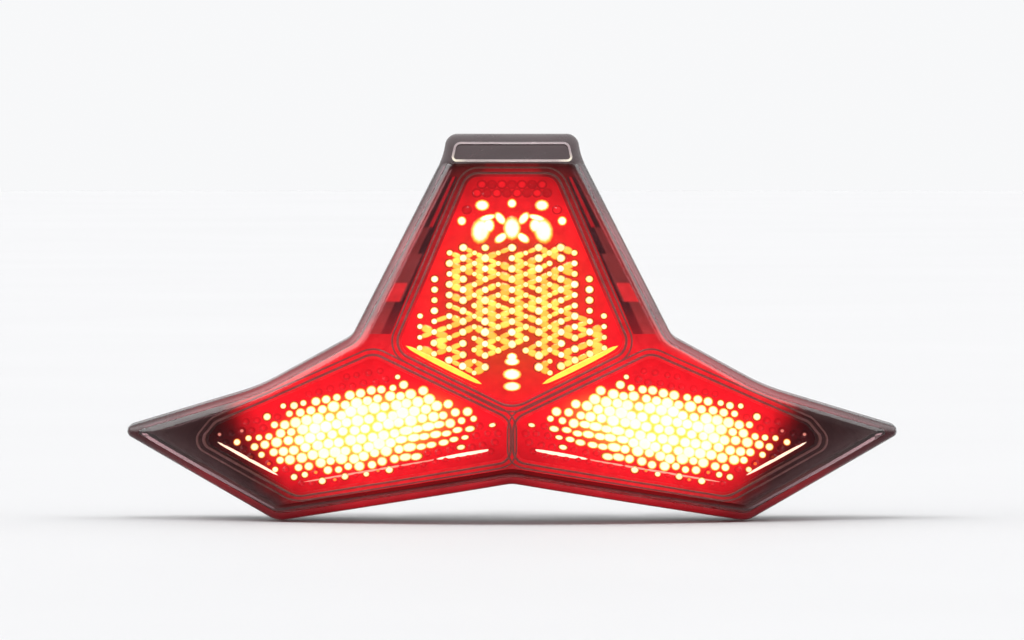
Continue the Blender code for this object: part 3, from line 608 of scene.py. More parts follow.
def radius_in(x, z, ellipse):
    """Distance from an ellipse's middle, as a share of its size"""
    centre_x, centre_z, half_width, half_height, tilt = ellipse
    across, up = abs(x) - centre_x, z - centre_z
    cosine, sine = math.cos(math.radians(tilt)), math.sin(math.radians(tilt))
    u = (across * cosine + up * sine) / half_width
    v = (up * cosine - across * sine) / half_height
    return math.hypot(u, v)


def glow(x, z):
    """Share of full red that spreads to a place on the front, from 0 to 1"""
    reach = min(radius_in(x, z, WING_GLOW), radius_in(x, z, STEM_GLOW))
    (end_x, end_z), (across, up), softness = WING_END
    past = (abs(x) - end_x) * across + (z - end_z) * up
    return 1 / (1 + reach ** 9) / (1 + math.exp(min(past / softness, 30.0)))


def paint(bm, colour_at):
    """Write the light attribute of every vertex"""
    layer = bm.verts.layers.float_color.get("light") or bm.verts.layers.float_color.new("light")
    for vert in bm.verts:
        vert[layer] = (*colour_at(vert.co), 1.0)


def bezel_light(place):
    """Rosy spill on the bezel, weaker on its skirt"""
    depth = place.y - face(0.0)(place.x, place.z)
    spill = glow(place.x, place.z)
    fade = 1.0 if depth < BEZEL_FACE + 0.0006 else 0.55
    fade *= min(max((0.1075 - place.z) / 0.003, 0.04), 1.0)
    stem_side = max(place.z - 0.06, 0.0) / 0.012
    fade *= 1.0 - 0.55 * min(stem_side, 1.0) * (abs(place.x) > 0.01)
    return RED * (0.95 * spill * fade) + ROSE * 0.014 + WHITE * 0.004


# ---- front pieces ----

def lens_cover():
    """Smoked cover with a rounded edge, a skirt and a pale line round its top band; the skirt and the rounded
    edge take dark plastic as painted shade round the outline, the top band above the crease takes it too, and
    the pale line glows with a painted highlight
    """
    lens = mirrored(LENS_CORNERS)
    bm = bmesh.new()
    rings = [(outline(lens, LENS_ROUND * inset), face(LENS_ROUND * depth)) for inset, depth in quarter(8)]
    rings.append((outline(lens), face(LENS_SKIRT - LENS_EDGE)))
    rings.append((outline(lens, LENS_EDGE), face(LENS_SKIRT)))
    rings.append((outline(lens, LENS_WALL), face(LENS_SKIRT)))
    for inset, depth in reversed(quarter(6)):
        rings.append((outline(lens, LENS_WALL + LENS_INNER_ROUND * inset),
                      face(LENS_FACE_WALL + LENS_INNER_ROUND * depth)))
    stack(bm, rings, rows=(CREASE_Z,))
    # The skirt and a band of the rounded edge take the dark skirt plastic, painted shade round the outline;
    # the top band above the crease is darker too
    for made in bm.faces:
        middle = made.calc_center_median()
        depth = middle.y - face(0.0)(middle.x, middle.z)
        is_edge = EDGE_SHADE_DEPTHS[0] < depth < EDGE_SHADE_DEPTHS[1] or depth > LENS_ROUND
        made.material_index = int(is_edge or middle.z > CREASE_Z)
    paint(bm, skirt_light)
    # The ridge round the top band glows pale with a painted highlight
    with_material(bm, 2, lambda: ridge(bm, mirrored(BAND_CORNERS), 0.0, 0.0007, 0.0, 0.0003), band_line_highlight)
    finish(bm, "lens_cover", ["lens", "skirt", "trim"], ["outer_lens"], sharp=16.0)


def band_line_highlight(place):
    """Pale line round the lens's top band, a painted highlight that is brightest at the ends of the crease"""
    crease_end_highlight = max(1.0 - math.hypot(abs(place.x) - 0.018, place.z - 0.1098) / 0.0022, 0.0)
    level = 0.16 if place.z < 0.1108 else 0.07
    return WHITE * (level + 0.8 * crease_end_highlight) * 0.9


def seal_bead():
    """Rubber bead between the cover's skirt and the housing's rim"""
    lens = mirrored(LENS_CORNERS)
    bm = bmesh.new()
    middle = (LENS_SKIRT + RIM_FACE) / 2
    rings = []
    for number in range(12):
        angle = 2 * math.pi * number / 12
        inset = SEAL_INSET + SEAL_HALF_WIDTH * math.cos(angle)
        rings.append((outline(lens, inset), face(middle + SEAL_HALF_DEPTH * math.sin(angle))))
    band(bm, rings)
    finish(bm, "seal_bead", ["rubber"], ["lens_seal"])


def window_frame():
    """Smoked frame with three windows, the trim lines round them and the strips beside the stem"""
    lens = mirrored(LENS_CORNERS)
    bm = bmesh.new()
    rings = [
        (outline(lens, BEZEL_INSET), face(BEZEL_FACE)),
        (outline(lens, BEZEL_SKIRT_INSET + 0.0004), face(BEZEL_FACE + 0.0003)),
        (outline(lens, BEZEL_SKIRT_INSET), face(BEZEL_FACE + 0.0011)),
        (outline(lens, BEZEL_SKIRT_INSET), face(RIM_FACE - GAP)),
        (outline(lens, BEZEL_INSET), face(RIM_FACE - GAP)),
        (outline(lens, BEZEL_INSET), face(BEZEL_FACE + BEZEL_WALL)),
    ]
    windows = [mirrored(STEM_CORNERS), on_side(WING_CORNERS, -1), on_side(WING_CORNERS, 1)]
    holes = []
    for corners in windows:
        hole = [
            (outline(corners, -0.0006), face(BEZEL_FACE)),
            (outline(corners, -0.0001), face(BEZEL_FACE + 0.0003)),
            (outline(corners), face(BEZEL_FACE + BEZEL_WALL)),
        ]
        holes.append(hole)
    stack(bm, rings, holes, rows=(CREASE_Z,))
    paint(bm, bezel_light)
    with_material(bm, 1, lambda: [trim_lines(bm, corners) for corners in windows], trim_light)
    with_material(bm, 2, lambda: [rail(bm, side) for side in (-1, 1)], rail_light)
    finish(bm, "window_frame", ["bezel", "trim", "rail"], ["inner_bezel"], sharp=28.0)


def trim_lines(bm, corners):
    """Two fine beads round a window"""
    ridge(bm, corners, -0.0012, 0.0008, BEZEL_FACE, 0.0006)
    ridge(bm, corners, -0.0029, 0.0006, BEZEL_FACE, 0.0005)


def with_material(bm, index, build, light_at):
    """Run a builder, then give its new faces a material index and a light"""
    known_verts, known_faces = set(bm.verts), set(bm.faces)
    build()
    layer = bm.verts.layers.float_color["light"]
    for made in bm.faces:
        if made not in known_faces:
            made.material_index = index
    for vert in bm.verts:
        if vert not in known_verts:
            vert[layer] = (*light_at(vert.co), 1.0)


def trim_light(place):
    """Red that the trim lines pick up, weak on the stem's upper part, over a faint pale glow that is painted
    highlight
    """
    level = glow(place.x, place.z) ** 2
    # WHITE * 0.055 is a painted highlight on the beads; the rose terms are the lamp's red light on them
    return ROSE * (0.3 * level) + WHITE * 0.055 + ROSE * 0.06


def skirt_light(place):
    """Red that leaks into the lens's skirt beside the windows"""
    near = min(radius_in(place.x, place.z, WING_GLOW), radius_in(place.x, place.z, STEM_GLOW))
    depth = place.y - face(0.0)(place.x, place.z)
    fade = max(1.0 - depth / 0.016, 0.15) * min(max((0.104 - place.z) / 0.02, 0.0), 1.0)
    low = 1.0 + 1.1 * (place.z < 0.016)
    return RED * (0.34 * low * fade / (1 + (near / 1.05) ** 8))


RAIL_HEIGHTS = (0.056, 0.104)
RAIL_THICKNESS = 0.0005
RAIL_PATCH = (0.0655, 0.0716)    # heights of the bright patch
RAIL_STEP = 0.08    # height above which the strip is dimmer
RAIL_TOP = 0.0885    # height above which only a thin line of it is lit


def rail_span(z):
    """Inner and outer x of the strip between the stem window's frame and the lens edge"""
    inner = 0.0383 - 0.022 / 0.052 * (z - 0.0534)
    outer = 0.0452 - 0.0279 / 0.055 * (z - 0.0538)
    return inner, outer


def rail_tone(across, z):
    """Light of the strip, from its inner edge (0) to its outer edge (1)"""
    dark, pink = ROSE * 0.035, ROSE * 0.3 + WHITE * 0.03
    if RAIL_PATCH[0] < z < RAIL_PATCH[1] and across > 0.25:
        return RED * 1.15 + WHITE * 0.02
    if z > RAIL_TOP:
        return RED * 0.62 if 0.22 < across < 0.52 else dark + WHITE * 0.006
    if across < 0.42 and not RAIL_PATCH[0] < z < RAIL_STEP:
        return dark
    if z > RAIL_STEP:
        return pink * 0.75
    return pink if across > 0.16 else dark * 2


def rail_light(place):
    inner, outer = rail_span(place.z)
    low = max(1.0 - (place.z - RAIL_HEIGHTS[0]) / 0.01, 0.0)
    return rail_tone((abs(place.x) - inner) / (outer - inner), place.z) + RED * (0.35 * low)


def rail(bm, side):
    """Stepped strip beside the stem window"""
    columns, rows = 10, 76
    low, high = RAIL_HEIGHTS
    layers = []
    for rise in (0.0, RAIL_THICKNESS):
        grid = []
        for row in range(rows + 1):
            z = low + (high - low) * row / rows
            inner, outer = rail_span(z)
            line = []
            for column in range(columns + 1):
                across = column / columns
                x = inner + (outer - inner) * across
                lift = 0.0003 + 0.0004 * min(rail_tone(across, z)[0] * 2, 1.0) if rise == 0.0 else -rise
                line.append(bm.verts.new((x * side, face(BEZEL_FACE - lift)(x, z), z)))
            grid.append(line)
        layers.append(grid)
        for first, second in zip(grid, grid[1:]):
            for index in range(columns):
                bm.faces.new((first[index], first[index + 1], second[index + 1], second[index]))
    borders = []
    for grid in layers:
        right = [line[-1] for line in grid[1:-1]]
        left = [line[0] for line in reversed(grid[1:-1])]
        borders.append(grid[0] + right + list(reversed(grid[-1])) + left)
    bridge(bm, borders[0], borders[1])


PILLOW_SIDES = 12


def add_pillow(bm, layer, place, size, tilt, bulge, spot, colours):
    """One small optic: an oval dome whose middle share, spot, carries the light

    colours are those of its rim, of the halo round the spot and of the spot itself.
    """
    x, z = place
    rim, halo, core = colours
    cosine, sine = math.cos(tilt), math.sin(tilt)
    shares = [(1.0, rim), (min(spot + 0.14, 0.97), rim), (spot, halo),
              (spot * 0.72, core), (spot * 0.35, core)]
    rings = []
    for share, colour in shares:
        ring = []
        for number in range(PILLOW_SIDES):
            angle = 2 * math.pi * number / PILLOW_SIDES
            u, v = size[0] * share * math.cos(angle), size[1] * share * math.sin(angle)
            px, pz = x + u * cosine - v * sine, z + u * sine + v * cosine
            lift = bulge * (1 - share ** 2) - 0.0001
            vert = bm.verts.new((px, face(OPTIC_FACE - lift)(px, pz), pz))
            vert[layer] = (*colour, 1.0)
            ring.append(vert)
        rings.append(ring)
    loft(bm, rings, capped=False)
    top = bm.verts.new((x, face(OPTIC_FACE - bulge)(x, z), z))
    top[layer] = (*core, 1.0)
    last = rings[-1]
    for number in range(PILLOW_SIDES):
        bm.faces.new((last[number], last[(number + 1) % PILLOW_SIDES], top))


def contains(corners, inset, x, z):
    """Whether a place lies inside an outline by more than inset"""
    points = [corner[:2] for corner in inset_corners(corners, inset)]
    for (x1, z1), (x2, z2) in zip(points, points[1:] + points[:1]):
        if (x2 - x1) * (z - z1) - (z2 - z1) * (x - x1) < 0:
            return False
    return True


def optic_plate(bm, corners, colour_at):
    """Plate of an optic with its light painted on, and the layer that holds the light"""
    edge = outline(corners, -OPTIC_LIP)
    stack(bm, [(edge, face(OPTIC_FACE)), (edge, face(OPTIC_FACE + OPTIC_WALL))], spacing=0.002)
    paint(bm, colour_at)
    return bm.verts.layers.float_color["light"]


def stem_red(place):
    """Red of the stem optic, darker towards its top corners"""
    top = min(max(place.z - 0.092, 0.0) / 0.012, 1.0)
    corner = min(abs(place.x) / 0.014, 1.0)
    reach = math.hypot(place.x / 0.0205, (place.z - 0.065) / 0.0215)
    woven = 1 / (1 + reach ** 6)
    return RED * (0.74 - 0.46 * top * (0.45 + 0.55 * corner) - 0.34 * woven) + AMBER * (0.1 * woven)


ROW_PITCH = 0.0032
STEM_ROWS = 13
STEM_TOP_ROW = 0.0822
LOW_LINKS = 0.06    # height below which the outer columns are linked too
LINK_GAPS = (0.06, 0.26)    # share of the level and of the steep links that are left out
# Columns of beads on the stem optic: x, top, bottom, radius and brightness
STEM_COLUMNS = [
    (0.0, 0.0835, 0.051, 0.0015, 0.85),
    (0.0042, 0.0825, 0.048, 0.0012, 0.55),
    (0.0082, 0.0835, 0.044, 0.0016, 0.95),
    (0.0115, 0.0825, 0.044, 0.00115, 0.6),
    (0.015, 0.0835, 0.044, 0.0015, 0.95),
    (0.0192, 0.0825, 0.0465, 0.0014, 0.95),
    (0.0238, 0.0805, 0.0478, 0.0014, 1.0),
    (0.0282, 0.065, 0.048, 0.0012, 0.95),
]


def bead_place(index, row):
    """Place of a bead: the columns step up and down by turns, and the lowest rows tilt"""
    x = STEM_COLUMNS[index][0]
    low = max(row - 8, 0) * 0.00013
    z = STEM_TOP_ROW - row * ROW_PITCH + (0.0016 if index % 2 else 0.0)
    return x, z - low * (0.03 - x) / 0.01


def stem_beads(bm, layer, rng):
    """Beads in columns, joined by slanted links where they merge into a zigzag near the middle"""
    corners = mirrored(STEM_CORNERS)
    for index, (_, top, bottom, radius, bright) in enumerate(STEM_COLUMNS):
        for row in range(STEM_ROWS):
            x, z = bead_place(index, row)
            if z > top or z < bottom or not contains(corners, BEAD_MARGIN, x, z):
                continue
            for side in (-1, 1) if x else (1,):
                level = bright * rng.uniform(0.35, 1.0)
                core = YELLOW * (1 - level) * 1.2 + WHITE * level
                spread = radius * rng.uniform(0.84, 1.12)
                add_pillow(bm, layer, (x * side, z), (spread * 1.12, spread), 0.0, 0.0009, 0.7,
                           (RED * 0.16, AMBER * 1.1, core))
            if 0 < index < (6 if z > LOW_LINKS else 8):
                stem_links(bm, layer, rng, index, row)


def stem_links(bm, layer, rng, index, row):
    """Slanted links from a bead to its neighbours in the next column towards the middle"""
    x, z = bead_place(index, row)
    for step in (0, -1) if index % 2 else (0, 1):
        before_x, before_z = bead_place(index - 1, row + step)
        _, top, bottom, _, _ = STEM_COLUMNS[index - 1]
        if not bottom < before_z < top:
            continue
        for side in (-1, 1):
            if rng.uniform() < LINK_GAPS[step != 0] + 0.03 * index:
                continue
            spot = ((x + before_x) / 2 * side, (z + before_z) / 2)
            length = math.hypot(x - before_x, z - before_z) * rng.uniform(0.42, 0.62)
            tilt = math.atan2(z - before_z, (x - before_x) * side)
            shade = rng.uniform(0.35, 1.0)
            width = rng.uniform(0.00085, 0.0015)
            add_pillow(bm, layer, spot, (length, width), tilt, 0.0006, 0.78,
                       (RED * 0.26 + AMBER * 0.12, AMBER, YELLOW * shade + AMBER * (0.8 - 0.8 * shade)))


def center_light():
    """Stem optic: columns of beads, a cluster above them and big beads below"""
    bm = bmesh.new()
    layer = optic_plate(bm, mirrored(STEM_CORNERS), stem_red)
    stem_beads(bm, layer, np.random.default_rng(7))
    big_beads = [(0.0492, 0.0018, 0.0013), (0.0478, 0.0026, 0.0012), (0.044, 0.0031, 0.0017),
                 (0.0404, 0.003, 0.0014)]
    for z, half_wide, half_high in big_beads:
        add_pillow(bm, layer, (0.0, z), (half_wide, half_high * 1.1), 0.0, 0.001, 0.8,
                   (RED * 0.4 + AMBER * 0.3, AMBER * 0.6 + YELLOW * 0.5, WHITE))
    cluster = [
        (0.0, 0.0958, 0.0015, 0.0015, 0.0), (0.0092, 0.0952, 0.0023, 0.0018, 0.0),
        (0.0155, 0.0904, 0.0015, 0.0015, 0.0), (0.0, 0.0882, 0.0028, 0.0038, 0.0),
        (0.0036, 0.0912, 0.0024, 0.0014, 0.9), (0.0034, 0.0852, 0.0024, 0.0014, -0.6),
        (0.0076, 0.0914, 0.003, 0.001, -0.25), (0.0096, 0.0874, 0.0031, 0.0042, 0.2),
        (0.0072, 0.089, 0.002, 0.0024, 0.0),
    ]
    for x, z, half_wide, half_high, tilt in cluster:
        for side in (-1, 1) if x else (1,):
            size = (half_wide * 1.08, half_high * 1.08)
            add_pillow(bm, layer, (x * side, z), size, tilt * side, 0.001, 0.76,
                       (RED * 0.35 + AMBER * 0.35, AMBER * 0.6 + YELLOW * 0.5, WHITE))
    top_pillows(bm, layer)
    for side in (-1, 1):
        light_bar(bm, (0.0325, 0.0524), (0.0092, 0.0411), 0.0017, AMBER * 1.3 + YELLOW * 0.4, side)
    finish(bm, "center_light", ["optic"], ["center_optic"], sharp=50.0)


def top_pillows(bm, layer):
    """Dim pillows along the top and the upper sides of the stem optic"""
    corners = mirrored(STEM_CORNERS)
    for row in range(4):
        z = 0.1016 - row * 0.0026
        for column in range(-7, 8):
            x = (column + 0.5 * (row % 2)) * 0.0031
            if contains(corners, 0.0016, x, z) and (row < 2 or abs(x) > 0.0125):
                dim = stem_red(Vector((x, 0.0, z)))
                lift = 1.35 if (column + row) % 2 else 0.75
                add_pillow(bm, layer, (x, z), (0.0018, 0.0016), 0.0, 0.0007, 0.6,
                           (dim * 0.62, dim * (0.6 + lift) / 2, dim * lift))


def light_bar(bm, start, end, width, colour, side):
    """Bright bar on one side, given on the right half: the lit edge of a light guide on the stem optic, a
    painted highlight on the wing optics
    """
    spots = [(x * side, z) for x, z in (start, end)]
    with_material(bm, 0, lambda: bar(bm, *spots, width, OPTIC_FACE, 0.0006), lambda place: colour)


WING_PITCHES = (0.003472, 0.002666)    # between the beads of a row, and between rows
WING_JITTER = 0.00035
BEAD_MARGIN = 0.002    # of the beads from the edge of their window


def wing_red(place):
    """Red of a wing optic, fading to dark mauve towards the tip"""
    level = glow(place.x, place.z) ** 0.8
    reach = radius_in(place.x, place.z, WING_DOTS)
    heat = math.exp(-(reach / 0.62) ** 4)
    near = 0.4 + 0.42 * math.exp(-(reach / 1.55) ** 4)
    return RED * (near * level) + (AMBER + YELLOW * 0.4) * heat + ROSE * 0.01


def wing_light(name, side):
    """Wing optic: an oval field of beads in staggered rows, with pale bars along its edges that are painted
    highlights
    """
    corners = on_side(WING_CORNERS, side)
    bm = bmesh.new()
    layer = optic_plate(bm, corners, wing_red)
    rng = np.random.default_rng(11)
    turn = math.radians(WING_DOTS[4])
    for row in range(-8, 10):
        for column in range(-16, 17):
            u, v = (column + 0.5 * (row % 2)) * WING_PITCHES[0], row * WING_PITCHES[1]
            x = WING_DOTS[0] + u * math.cos(turn) - v * math.sin(turn) + rng.uniform(-1, 1) * WING_JITTER
            z = WING_DOTS[1] + u * math.sin(turn) + v * math.cos(turn) + rng.uniform(-1, 1) * WING_JITTER
            chance = rng.uniform()
            if not contains(WING_CORNERS, BEAD_MARGIN, x, z):
                continue
            reach = radius_in(x, z, WING_DOTS)
            level = glow(x, z)
            if reach < 0.96 or (reach < 1.16 and chance < 0.34):
                bright = min(max(1.15 - reach ** 2, 0.0), 1.0)
                size = (0.0014 + 0.0007 * bright) * (0.82 + 0.36 * rng.uniform())
                core = YELLOW * 0.3 * (1 - bright) + WHITE * (0.7 + 0.3 * bright)
                rim = RED * 0.16 * (1 - bright) + (AMBER * 0.8 + YELLOW * 0.5) * bright ** 2
                colours = (rim, AMBER * (1 - bright) + YELLOW * 1.1 * bright, core)
                stretched = 1.0 + 0.24 * (x < 0.034 and z < 0.029)
                add_pillow(bm, layer, (x * side, z), (size * stretched, size * 0.9 / stretched),
                           turn * side, 0.0009, 0.7 + 0.2 * bright, colours)
            else:
                size = 0.0012 + 0.0003 * chance
                dim = wing_red(Vector((x, 0.0, z))) * 0.92
                spark = (AMBER * 0.8 + ROSE * 0.4) * (chance > 0.66) * (z < 0.02) * level
                # Pale dots on some dim beads towards the tips are painted glints
                tip_glint = (WHITE * 0.16 + ROSE * 0.3) * (chance > 0.82) * (level < 0.7)
                add_pillow(bm, layer, (x * side, z), (size, size * 0.9), 0.0, 0.0007, 0.42,
                           (dim * 0.85, dim, dim * 1.15 + spark + tip_glint))
    # Pale bars along the optic's edges are painted highlights, the faint middle one tinged red
    painted_highlight = WHITE * 0.85 + ROSE * 0.15
    light_bar(bm, (0.0062, 0.0216), (0.023, 0.0186), 0.001, painted_highlight * 1.1, side)
    light_bar(bm, (0.0215, 0.0188), (0.064, 0.0112), 0.0006, painted_highlight * 0.35 + RED * 0.5, side)
    light_bar(bm, (0.0715, 0.0132), (0.0905, 0.0229), 0.0009, painted_highlight, side)
    finish(bm, name + "_light", ["optic"], [name + "_optic"], sharp=50.0)


# ---- back pieces ----

def polygon_point(radius, sides, angle):
    """Point of a regular polygon's outline in a direction"""
    step = 2 * math.pi / sides
    from_middle = (angle % step) - step / 2
    distance = radius * math.cos(step / 2) / math.cos(from_middle)
    return distance * math.cos(angle), distance * math.sin(angle)


def turned(bm, profile, place, bored=False, count=ROUND):
    """Round body from (radius, height) or (radius, height, sides) rows along its own Z"""
    rings = []
    for row in profile:
        sides = row[2] if len(row) > 2 else count
        spots = [polygon_point(row[0], sides, 2 * math.pi * index / count) for index in range(count)]
        rings.append([bm.verts.new(place @ Vector((x, y, row[1]))) for x, y in spots])
    loft(bm, rings, capped=not bored)
    if bored:
        bridge(bm, rings[-1], rings[0])


def softened(profile, radius):
    """Profile with each sharp corner cut by a small round of three points"""
    rows = []
    count = len(profile)
    for index, row in enumerate(profile):
        here = Vector(row[:2])
        before = Vector(profile[index - 1][:2]) - here
        after = Vector(profile[(index + 1) % count][:2]) - here
        reach = min(radius, before.length * 0.4, after.length * 0.4)
        start, end = here + before.normalized() * reach, here + after.normalized() * reach
        rows += [(start.x, start.y), tuple((start + end) / 4 + here / 2), (end.x, end.y)]
    return rows


def middle_of(node):
    """Middle of a CAD node's box"""
    low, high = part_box(node)
    return (Vector(low) + Vector(high)) / 2


def tab_hole(name):
    """Centre of a mounting tab's hole, which its grommet sits in"""
    return middle_of(name + "_mount_grommet")


def grommet(name):
    """Rubber grommet whose neck sits in a tab's hole"""
    bore, neck, lip, shelf = 0.0043, TAB_HOLE_RADIUS - GAP, 0.0088, TAB_WALL / 2 + GAP
    end = shelf + 0.0022
    profile = [(bore, -end), (lip, -end), (lip, -shelf), (neck, -shelf), (neck, shelf), (lip, shelf),
               (lip, end), (bore, end)]
    bm = bmesh.new()
    turned(bm, softened(profile, 0.0005), Matrix.Translation(tab_hole(name)), bored=True)
    finish(bm, name + "_grommet", ["rubber"], [name + "_mount_grommet"])


def collar(name):
    """Flanged steel collar inside a grommet"""
    low, top, flange_top = -0.006, 0.0048, -0.0048
    bore, wall, flange = 0.0033, 0.004, 0.008
    profile = [(bore, low), (flange, low), (flange, flange_top), (wall, flange_top), (wall, top), (bore, top)]
    bm = bmesh.new()
    turned(bm, softened(profile, 0.0002), Matrix.Translation(tab_hole(name)), bored=True)
    finish(bm, name + "_collar", ["zinc"], [name + "_mount_collar"])


def mount_screw(name):
    """Hexagon flange screw with a rolled thread on its shank"""
    under = 0.0051
    place = Matrix.Translation(tab_hole(name))
    bm = bmesh.new()
    head = [
        (0.0026, under), (0.007, under), (0.0072, under + 0.0002), (0.0072, under + 0.0008),
        (0.007, under + 0.0011), (0.0058, under + 0.0017), (0.0057, under + 0.0018, 6),
        (0.0057, under + 0.0047, 6), (0.0052, under + 0.0054), (0.0036, under + 0.0054),
        (0.0033, under + 0.005), (0.003, under + 0.0046),
    ]
    turned(bm, head, place, count=72)
    pitch, thread_depth, low = 0.001, 0.00055, -0.014
    count, steps = 32, 108
    rings = []
    for number in range(steps + 1):
        height = low + (under - 0.0002 - low) * number / steps
        tip = min((height - low) / 0.0015, 1.0)
        ring = []
        for index in range(count):
            phase = (height / pitch + index / count) % 1.0
            radius = (0.003 - thread_depth * abs(2 * phase - 1)) * (0.86 + 0.14 * tip)
            angle = 2 * math.pi * index / count
            spot = Vector((radius * math.cos(angle), radius * math.sin(angle), height))
            ring.append(bm.verts.new(place @ spot))
        rings.append(ring)
    loft(bm, rings)
    finish(bm, name + "_screw", ["zinc"], [name + "_mount_screw"], sharp=35.0)


def along_y(x, y, z):
    """Matrix that turns a piece's own Z to +Y at a place"""
    return Matrix.Translation((x, y, z)) @ Matrix.Rotation(-math.pi / 2, 4, "X")


def cable_gland():
    """Ribbed rubber boot with an open bore for the cable"""
    low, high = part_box("cable_gland")
    x, z = (low[0] + high[0]) / 2, (low[2] + high[2]) / 2
    base = high[1] - 0.011
    inner = low[1] - base + 0.0018
    profile = [(CABLE_BORE_RADIUS, inner - 0.0018), (0.0068, inner - 0.0018), (0.0068, inner),
               (0.0047, inner), (0.0047, 0.0), (0.0078, 0.0), (0.0078, 0.0024), (0.0056, 0.0034)]
    nose = []
    for number in range(4):
        height = 0.0042 + number * 0.0017
        radius = 0.0055 - number * 0.0002
        nose += [(radius, height), (radius, height + 0.0009), (radius - 0.0009, height + 0.0011),
                 (radius - 0.0009, height + 0.0015)]
    profile += nose[:-2] + [(0.0048, 0.011), (CABLE_BORE_RADIUS, 0.011)]
    bm = bmesh.new()
    turned(bm, softened(profile, 0.0003), along_y(x, base, z), bored=True)
    finish(bm, "cable_boot", ["rubber"], ["cable_gland"])


def vent_plug():
    """Breather cap with grip ribs round its side"""
    low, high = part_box("vent_cap")
    x, z = (low[0] + high[0]) / 2, (low[2] + high[2]) / 2
    base = high[1] - 0.0042
    bm = bmesh.new()
    place = along_y(x, base, z)
    profile = [(0.0018, low[1] - base), (0.0027, low[1] - base + 0.001), (0.0027, 0.0), (0.0046, 0.0),
               (0.0051, 0.0004), (0.0052, 0.001), (0.0052, 0.0032), (0.005, 0.0037), (0.0044, 0.0041),
               (0.0036, 0.0042), (0.0034, 0.0036), (0.0016, 0.0036), (0.0014, 0.0041)]
    turned(bm, profile, place)
    for number in range(12):
        turn = Matrix.Rotation(2 * math.pi * number / 12, 4, "Z")
        rib = place @ turn @ Matrix.Translation((0.005, 0, 0.002))
        shape = Matrix.Diagonal((0.0008, 0.0007, 0.0024, 1.0))
        bmesh.ops.create_cube(bm, size=1.0, matrix=rib @ shape)
    finish(bm, "vent_plug", ["epoxy"], ["vent_cap"])


def box_along_back(bm, start, end, width, rise, pieces=14):
    """Low rib that follows the housing's back between two places, given as x and z"""
    run = Vector(end) - Vector(start)
    side = Vector((-run.y, run.x)).normalized() * (width / 2)
    rings = []
    for number in range(pieces + 1):
        middle = Vector(start) + run * number / pieces
        ring = []
        profile = [(-1, -0.0012), (-1, rise * 0.8), (-0.6, rise), (0.6, rise), (1, rise * 0.8), (1, -0.0012)]
        for share, lift in profile:
            spot = middle + side * share
            ring.append(bm.verts.new((spot.x, back(lift)(spot.x, spot.y), spot.y)))
        rings.append(ring)
    loft(bm, rings)


def prism(bm, points, half_height, place):
    """Plate with the outline of points, as thick above its own XY plane as below"""
    levels = (-half_height, half_height)
    loft(bm, [[bm.verts.new(place @ Vector((x, y, level))) for x, y in points] for level in levels])


def housing_additions():
    """Tabs, ribs and seats that stand on the housing's back, each as a separate shape"""
    shapes = []
    for name in TABS:
        hole = tab_hole(name)
        root = []
        for step in range(-4, 5):
            offset = TAB_HALF_WIDTH * step / 4
            root.append((offset, back(-FLOOR_WALL * 0.8)(hole.x + offset, hole.z) - hole.y))
        angles = [math.pi * step / 24 for step in range(25)]
        end = [(TAB_HALF_WIDTH * math.cos(angle), TAB_HALF_WIDTH * math.sin(angle)) for angle in angles]
        bm = bmesh.new()
        prism(bm, root + end, TAB_WALL / 2, Matrix.Translation(hole))
        shapes.append(to_object(bm, f"add_{name}_tab"))
        for offset in (-0.008, 0.008):
            spot = hole.x + offset
            low_z = hole.z - 0.014
            points = [(back(-0.0018)(spot, low_z), low_z), (back(-0.0018)(spot, hole.z), hole.z),
                      (hole.y - 0.0105, hole.z), (hole.y - 0.0105, hole.z - TAB_WALL)]
            place = Matrix(((0, 0, 1, spot), (1, 0, 0, 0), (0, 1, 0, 0), (0, 0, 0, 1)))
            bm = bmesh.new()
            prism(bm, points, TAB_RIB_WIDTH / 2, place)
            shapes.append(to_object(bm, f"add_{name}_rib"))
    for node, radius, reach in (("cable_gland", 0.0085, 0.0052), ("vent_cap", 0.0055, 0.0044)):
        spot = middle_of(node)
        middle = back(0.0)(spot.x, spot.z)
        bm = bmesh.new()
        profile = [(radius, -0.007), (radius, reach - 0.0006), (radius - 0.0006, reach)]
        turned(bm, profile, along_y(spot.x, middle, spot.z))
        shapes.append(to_object(bm, "add_seat_" + node))
    return shapes


def housing_cuts():
    """Holes of the tabs and of the two seats, each as a separate shape"""
    cuts = []
    for name in TABS:
        bm = bmesh.new()
        profile = [(TAB_HOLE_RADIUS, -TAB_WALL), (TAB_HOLE_RADIUS, TAB_WALL)]
        turned(bm, profile, Matrix.Translation(tab_hole(name)))
        cuts.append(to_object(bm, f"cut_{name}_tab"))
    for node, radius in (("cable_gland", 0.005), ("vent_cap", 0.003)):
        spot = middle_of(node)
        bm = bmesh.new()
        turned(bm, [(radius, -0.03), (radius, 0.03)], along_y(spot.x, spot.y, spot.z))
        cuts.append(to_object(bm, "cut_seat_" + node))
    return cuts


